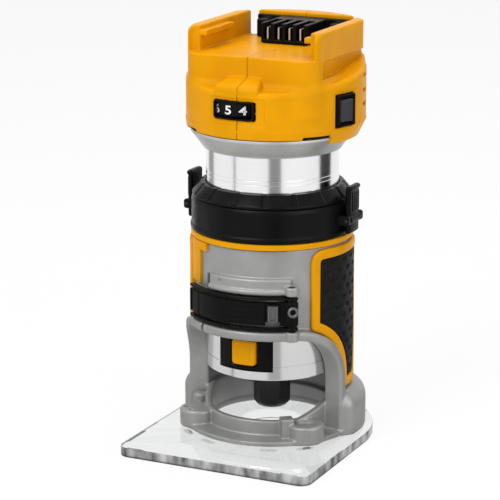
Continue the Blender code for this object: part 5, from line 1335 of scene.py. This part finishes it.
class ROUTER_OT_switch(bpy.types.Operator):
    """Power switch: black frame and a grey rocker that tips about an upright line"""

    bl_idname = "router.switch"
    bl_label = "Switch"

    def execute(self, context):
        drum = measure("drum_radius")
        bezel = loft((
            (7.0, 8.2, 0.7, -3.6), (7.0, 8.2, 0.7, 0.1), (6.7, 7.9, 0.8, 0.45), (6.0, 7.2, 0.8, 0.5),
            (5.3, 6.4, 0.7, 0.2), (5.0, 6.1, 0.6, -0.4), (5.0, 6.1, 0.6, -3.6)),
            on_plane(SWITCH_ANGLE, drum, SWITCH_HEIGHT, DRUM_Y), closed=True)
        make_piece("switch_frame", bezel, "black", "motor", "switch_bezel", 30.0)
        rocker = loft((
            (4.3, 5.7, 0.5, -1.3), (4.3, 5.7, 0.5, 1.7), (4.0, 5.4, 0.7, 2.2), (3.2, 4.6, 0.7, 2.3)),
            on_plane(SWITCH_ANGLE, drum - 1.4, SWITCH_HEIGHT, DRUM_Y, tilt=8.0))
        make_piece("rocker_key", rocker, "switch", "switch_rocker", "switch_rocker", 30.0)
        return {"FINISHED"}


INNER_FINISHES = {
    "steel": (
        *(f"{kind}_{number}" for kind in ("sub_base_screw", "terminal_blade") for number in range(1, 5)),
        *(f"housing_screw_{number}" for number in range(1, 4)), "strap_rivet", "lock_spring", "lower_bearing",
        "upper_bearing", "collet", "spindle"),
    "oxide": ("clamp_strap", "lever_pin", "tab_pin_left", "tab_pin_right"),
    "laminate": ("stator", "rotor"),
    "copper": ("stator_coil_lower", "stator_coil_upper"),
    "board": ("control_board",),
    "black": ("bearing_bracket", "fan", "dial_potentiometer", "switch_body"),
    "casting": ("lower_end_cap",),
}


class ROUTER_OT_inner_pieces(bpy.types.Operator):
    """Finishes for the fasteners and the pieces inside, whose solids already have the right shape"""

    bl_idname = "router.inner_pieces"
    bl_label = "Inner pieces"

    def execute(self, context):
        for finish, nodes in INNER_FINISHES.items():
            for node in nodes:
                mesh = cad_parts[node].data
                mesh.materials.clear()
                mesh.materials.append(FINISHES[finish])
        return {"FINISHED"}


# Stage


def aimed(item, place, target):
    """Puts a lamp or a camera in its place and points it at a target."""
    item.location = place
    item.rotation_euler = (Vector(target) - Vector(place)).to_track_quat("-Z", "Y").to_euler()
    return item


def add_lamp(name, place, target, width, power):
    """A square soft lamp that points at a target."""
    light = bpy.data.lights.new(name, "AREA")
    light.shape = "SQUARE"
    light.size = width
    light.energy = power
    aimed(add_object(name, light), place, target)


def reflection_card(name, start, end, tone, path=((95.0, 1.0), (400.0, 1.0), (400.0, 340.0))):
    """A card that only shows in polished metal: a path of (radius, height) carried along an arc round the tool."""
    path = np.array(path)
    points = polar(path[:, :1], np.linspace(start, end, 24), path[:, 1:])
    mesh = new_mesh(name, sheet(points, wrap_columns=False), clean=False)
    mesh.shade_flat()
    mesh.materials.append(node_material(name, {"Base Color": (tone, tone, tone, 1.0), "Roughness": 1.0})[0])
    card = add_object(name, mesh)
    card.visible_camera = False
    card.visible_diffuse = False
    card.visible_transmission = False
    card.visible_shadow = False


def seen_rays(tree):
    """One where a ray comes from the camera, a reflection or a refraction."""
    path = add_node(tree, "LightPath", {}).outputs
    seen = path["Is Camera Ray"]
    for kind in ("Is Glossy Ray", "Is Transmission Ray"):
        seen = add_node(tree, "Math", {0: seen, 1: path[kind]}, operation="MAXIMUM").outputs[0]
    return seen


def mixed(tree, factor, first, second, end):
    """Blends two shaders by a factor and joins them to an output."""
    mix = add_node(tree, "MixShader", {0: factor, 1: first.outputs[0], 2: second.outputs[0]})
    tree.links.new(mix.outputs["Shader"], tree.nodes[end].inputs["Surface"])


def floor_material(colour):
    """Pale floor: mostly plain white where it is seen, with the shadow kept by the rest."""
    material, tree, shader = node_material("pale_floor", {"Base Color": (*colour, 1.0), "Roughness": 0.9})
    glow = add_node(tree, "Emission", {"Strength": 1.0})
    share = add_node(tree, "Math", {0: seen_rays(tree), 1: 0.88}, operation="MULTIPLY")
    mixed(tree, share.outputs[0], shader, glow, "Material Output")
    return material


class ROUTER_OT_stage(bpy.types.Operator):
    """Pale floor, white surround, soft lamps and the camera"""

    bl_idname = "router.stage"
    bl_label = "Stage"

    def execute(self, context):
        scene = context.scene
        stage = scene.router_stage
        scene.view_settings.view_transform = "Standard"
        rings = polar(np.array(((0.0,), (1500.0,), (9000.0,))), whole_turn(64), 0.0)
        mesh = new_mesh("studio_floor", sheet(rings - AXIS))
        mesh.shade_flat()
        mesh.materials.append(floor_material(tuple(stage.floor)))
        add_object("studio_floor", mesh)
        reflection_card("camera_side_card", 19.0, 39.0, 0.30)
        reflection_card("left_edge_card", -42.0, -39.0, 0.05)
        reflection_card("right_dark_card", 110.0, 140.0, 0.03)
        reflection_card("left_back_card", -112.0, -92.0, 0.35)
        reflection_card("near_floor_card", 0.0, 360.0, 0.58, ((60.0, 0.4), (330.0, 0.4)))

        world = bpy.data.worlds.new("studio_surround")
        scene.world = world
        world.use_nodes = True
        tree = world.node_tree
        dim, white = tree.nodes["Background"], tree.nodes.new("ShaderNodeBackground")
        for node, strength in ((dim, stage.surround), (white, 1.0)):
            node.inputs["Color"].default_value = (1.0, 1.0, 1.0, 1.0)
            node.inputs["Strength"].default_value = strength
        mixed(tree, seen_rays(tree), dim, white, "World Output")

        aim = (0.0, 0.0, 0.11)
        add_lamp("key_lamp", (-0.35, -1.15, 1.20), aim, 0.8, stage.key_power)
        add_lamp("fill_lamp", (1.2, -0.5, 0.6), aim, 0.9, stage.fill_power)
        add_lamp("top_lamp", (0.05, 0.25, 1.3), aim, 0.9, stage.top_power)

        camera_data = bpy.data.cameras.new("photo_camera")
        camera_data.lens = stage.lens
        camera_data.sensor_width = 36.0
        camera = add_object("photo_camera", camera_data)
        scene.camera = aimed(camera, (0.47486, -1.00338, 0.39024), (-0.00941, 0.002503, 0.099727))
        return {"FINISHED"}


class ROUTER_PT_panel(bpy.types.Panel):
    """Lists the pieces in the order in which they are made"""

    bl_idname = "ROUTER_PT_panel"
    bl_label = "Trim router"
    bl_space_type = "VIEW_3D"
    bl_region_type = "UI"
    bl_category = "Router"

    def draw(self, context):
        for kind in OPERATORS:
            self.layout.operator(kind.bl_idname)


OPERATORS = (
    ROUTER_OT_stage, ROUTER_OT_sub_base, ROUTER_OT_base_casting, ROUTER_OT_grips, ROUTER_OT_rings, ROUTER_OT_tabs,
    ROUTER_OT_clamp, ROUTER_OT_motor_tube, ROUTER_OT_spindle_lock, ROUTER_OT_collet_nut, ROUTER_OT_top_housing,
    ROUTER_OT_terminal_block, ROUTER_OT_speed_dial, ROUTER_OT_switch, ROUTER_OT_inner_pieces,
)
CLASSES = (RouterSizes, RouterColours, RouterStage) + OPERATORS + (ROUTER_PT_panel,)


def register():
    for kind in CLASSES:
        bpy.utils.register_class(kind)
    bpy.types.Scene.router_sizes = PointerProperty(type=RouterSizes)
    bpy.types.Scene.router_colours = PointerProperty(type=RouterColours)
    bpy.types.Scene.router_stage = PointerProperty(type=RouterStage)


def unregister():
    del bpy.types.Scene.router_stage
    del bpy.types.Scene.router_colours
    del bpy.types.Scene.router_sizes
    for kind in reversed(CLASSES):
        bpy.utils.unregister_class(kind)


def main():
    """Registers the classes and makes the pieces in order."""
    register()
    make_finishes(bpy.context.scene.router_colours)
    for kind in OPERATORS:
        group, name = kind.bl_idname.split(".")
        getattr(getattr(bpy.ops, group), name)()


if __name__ == "__main__":
    main()
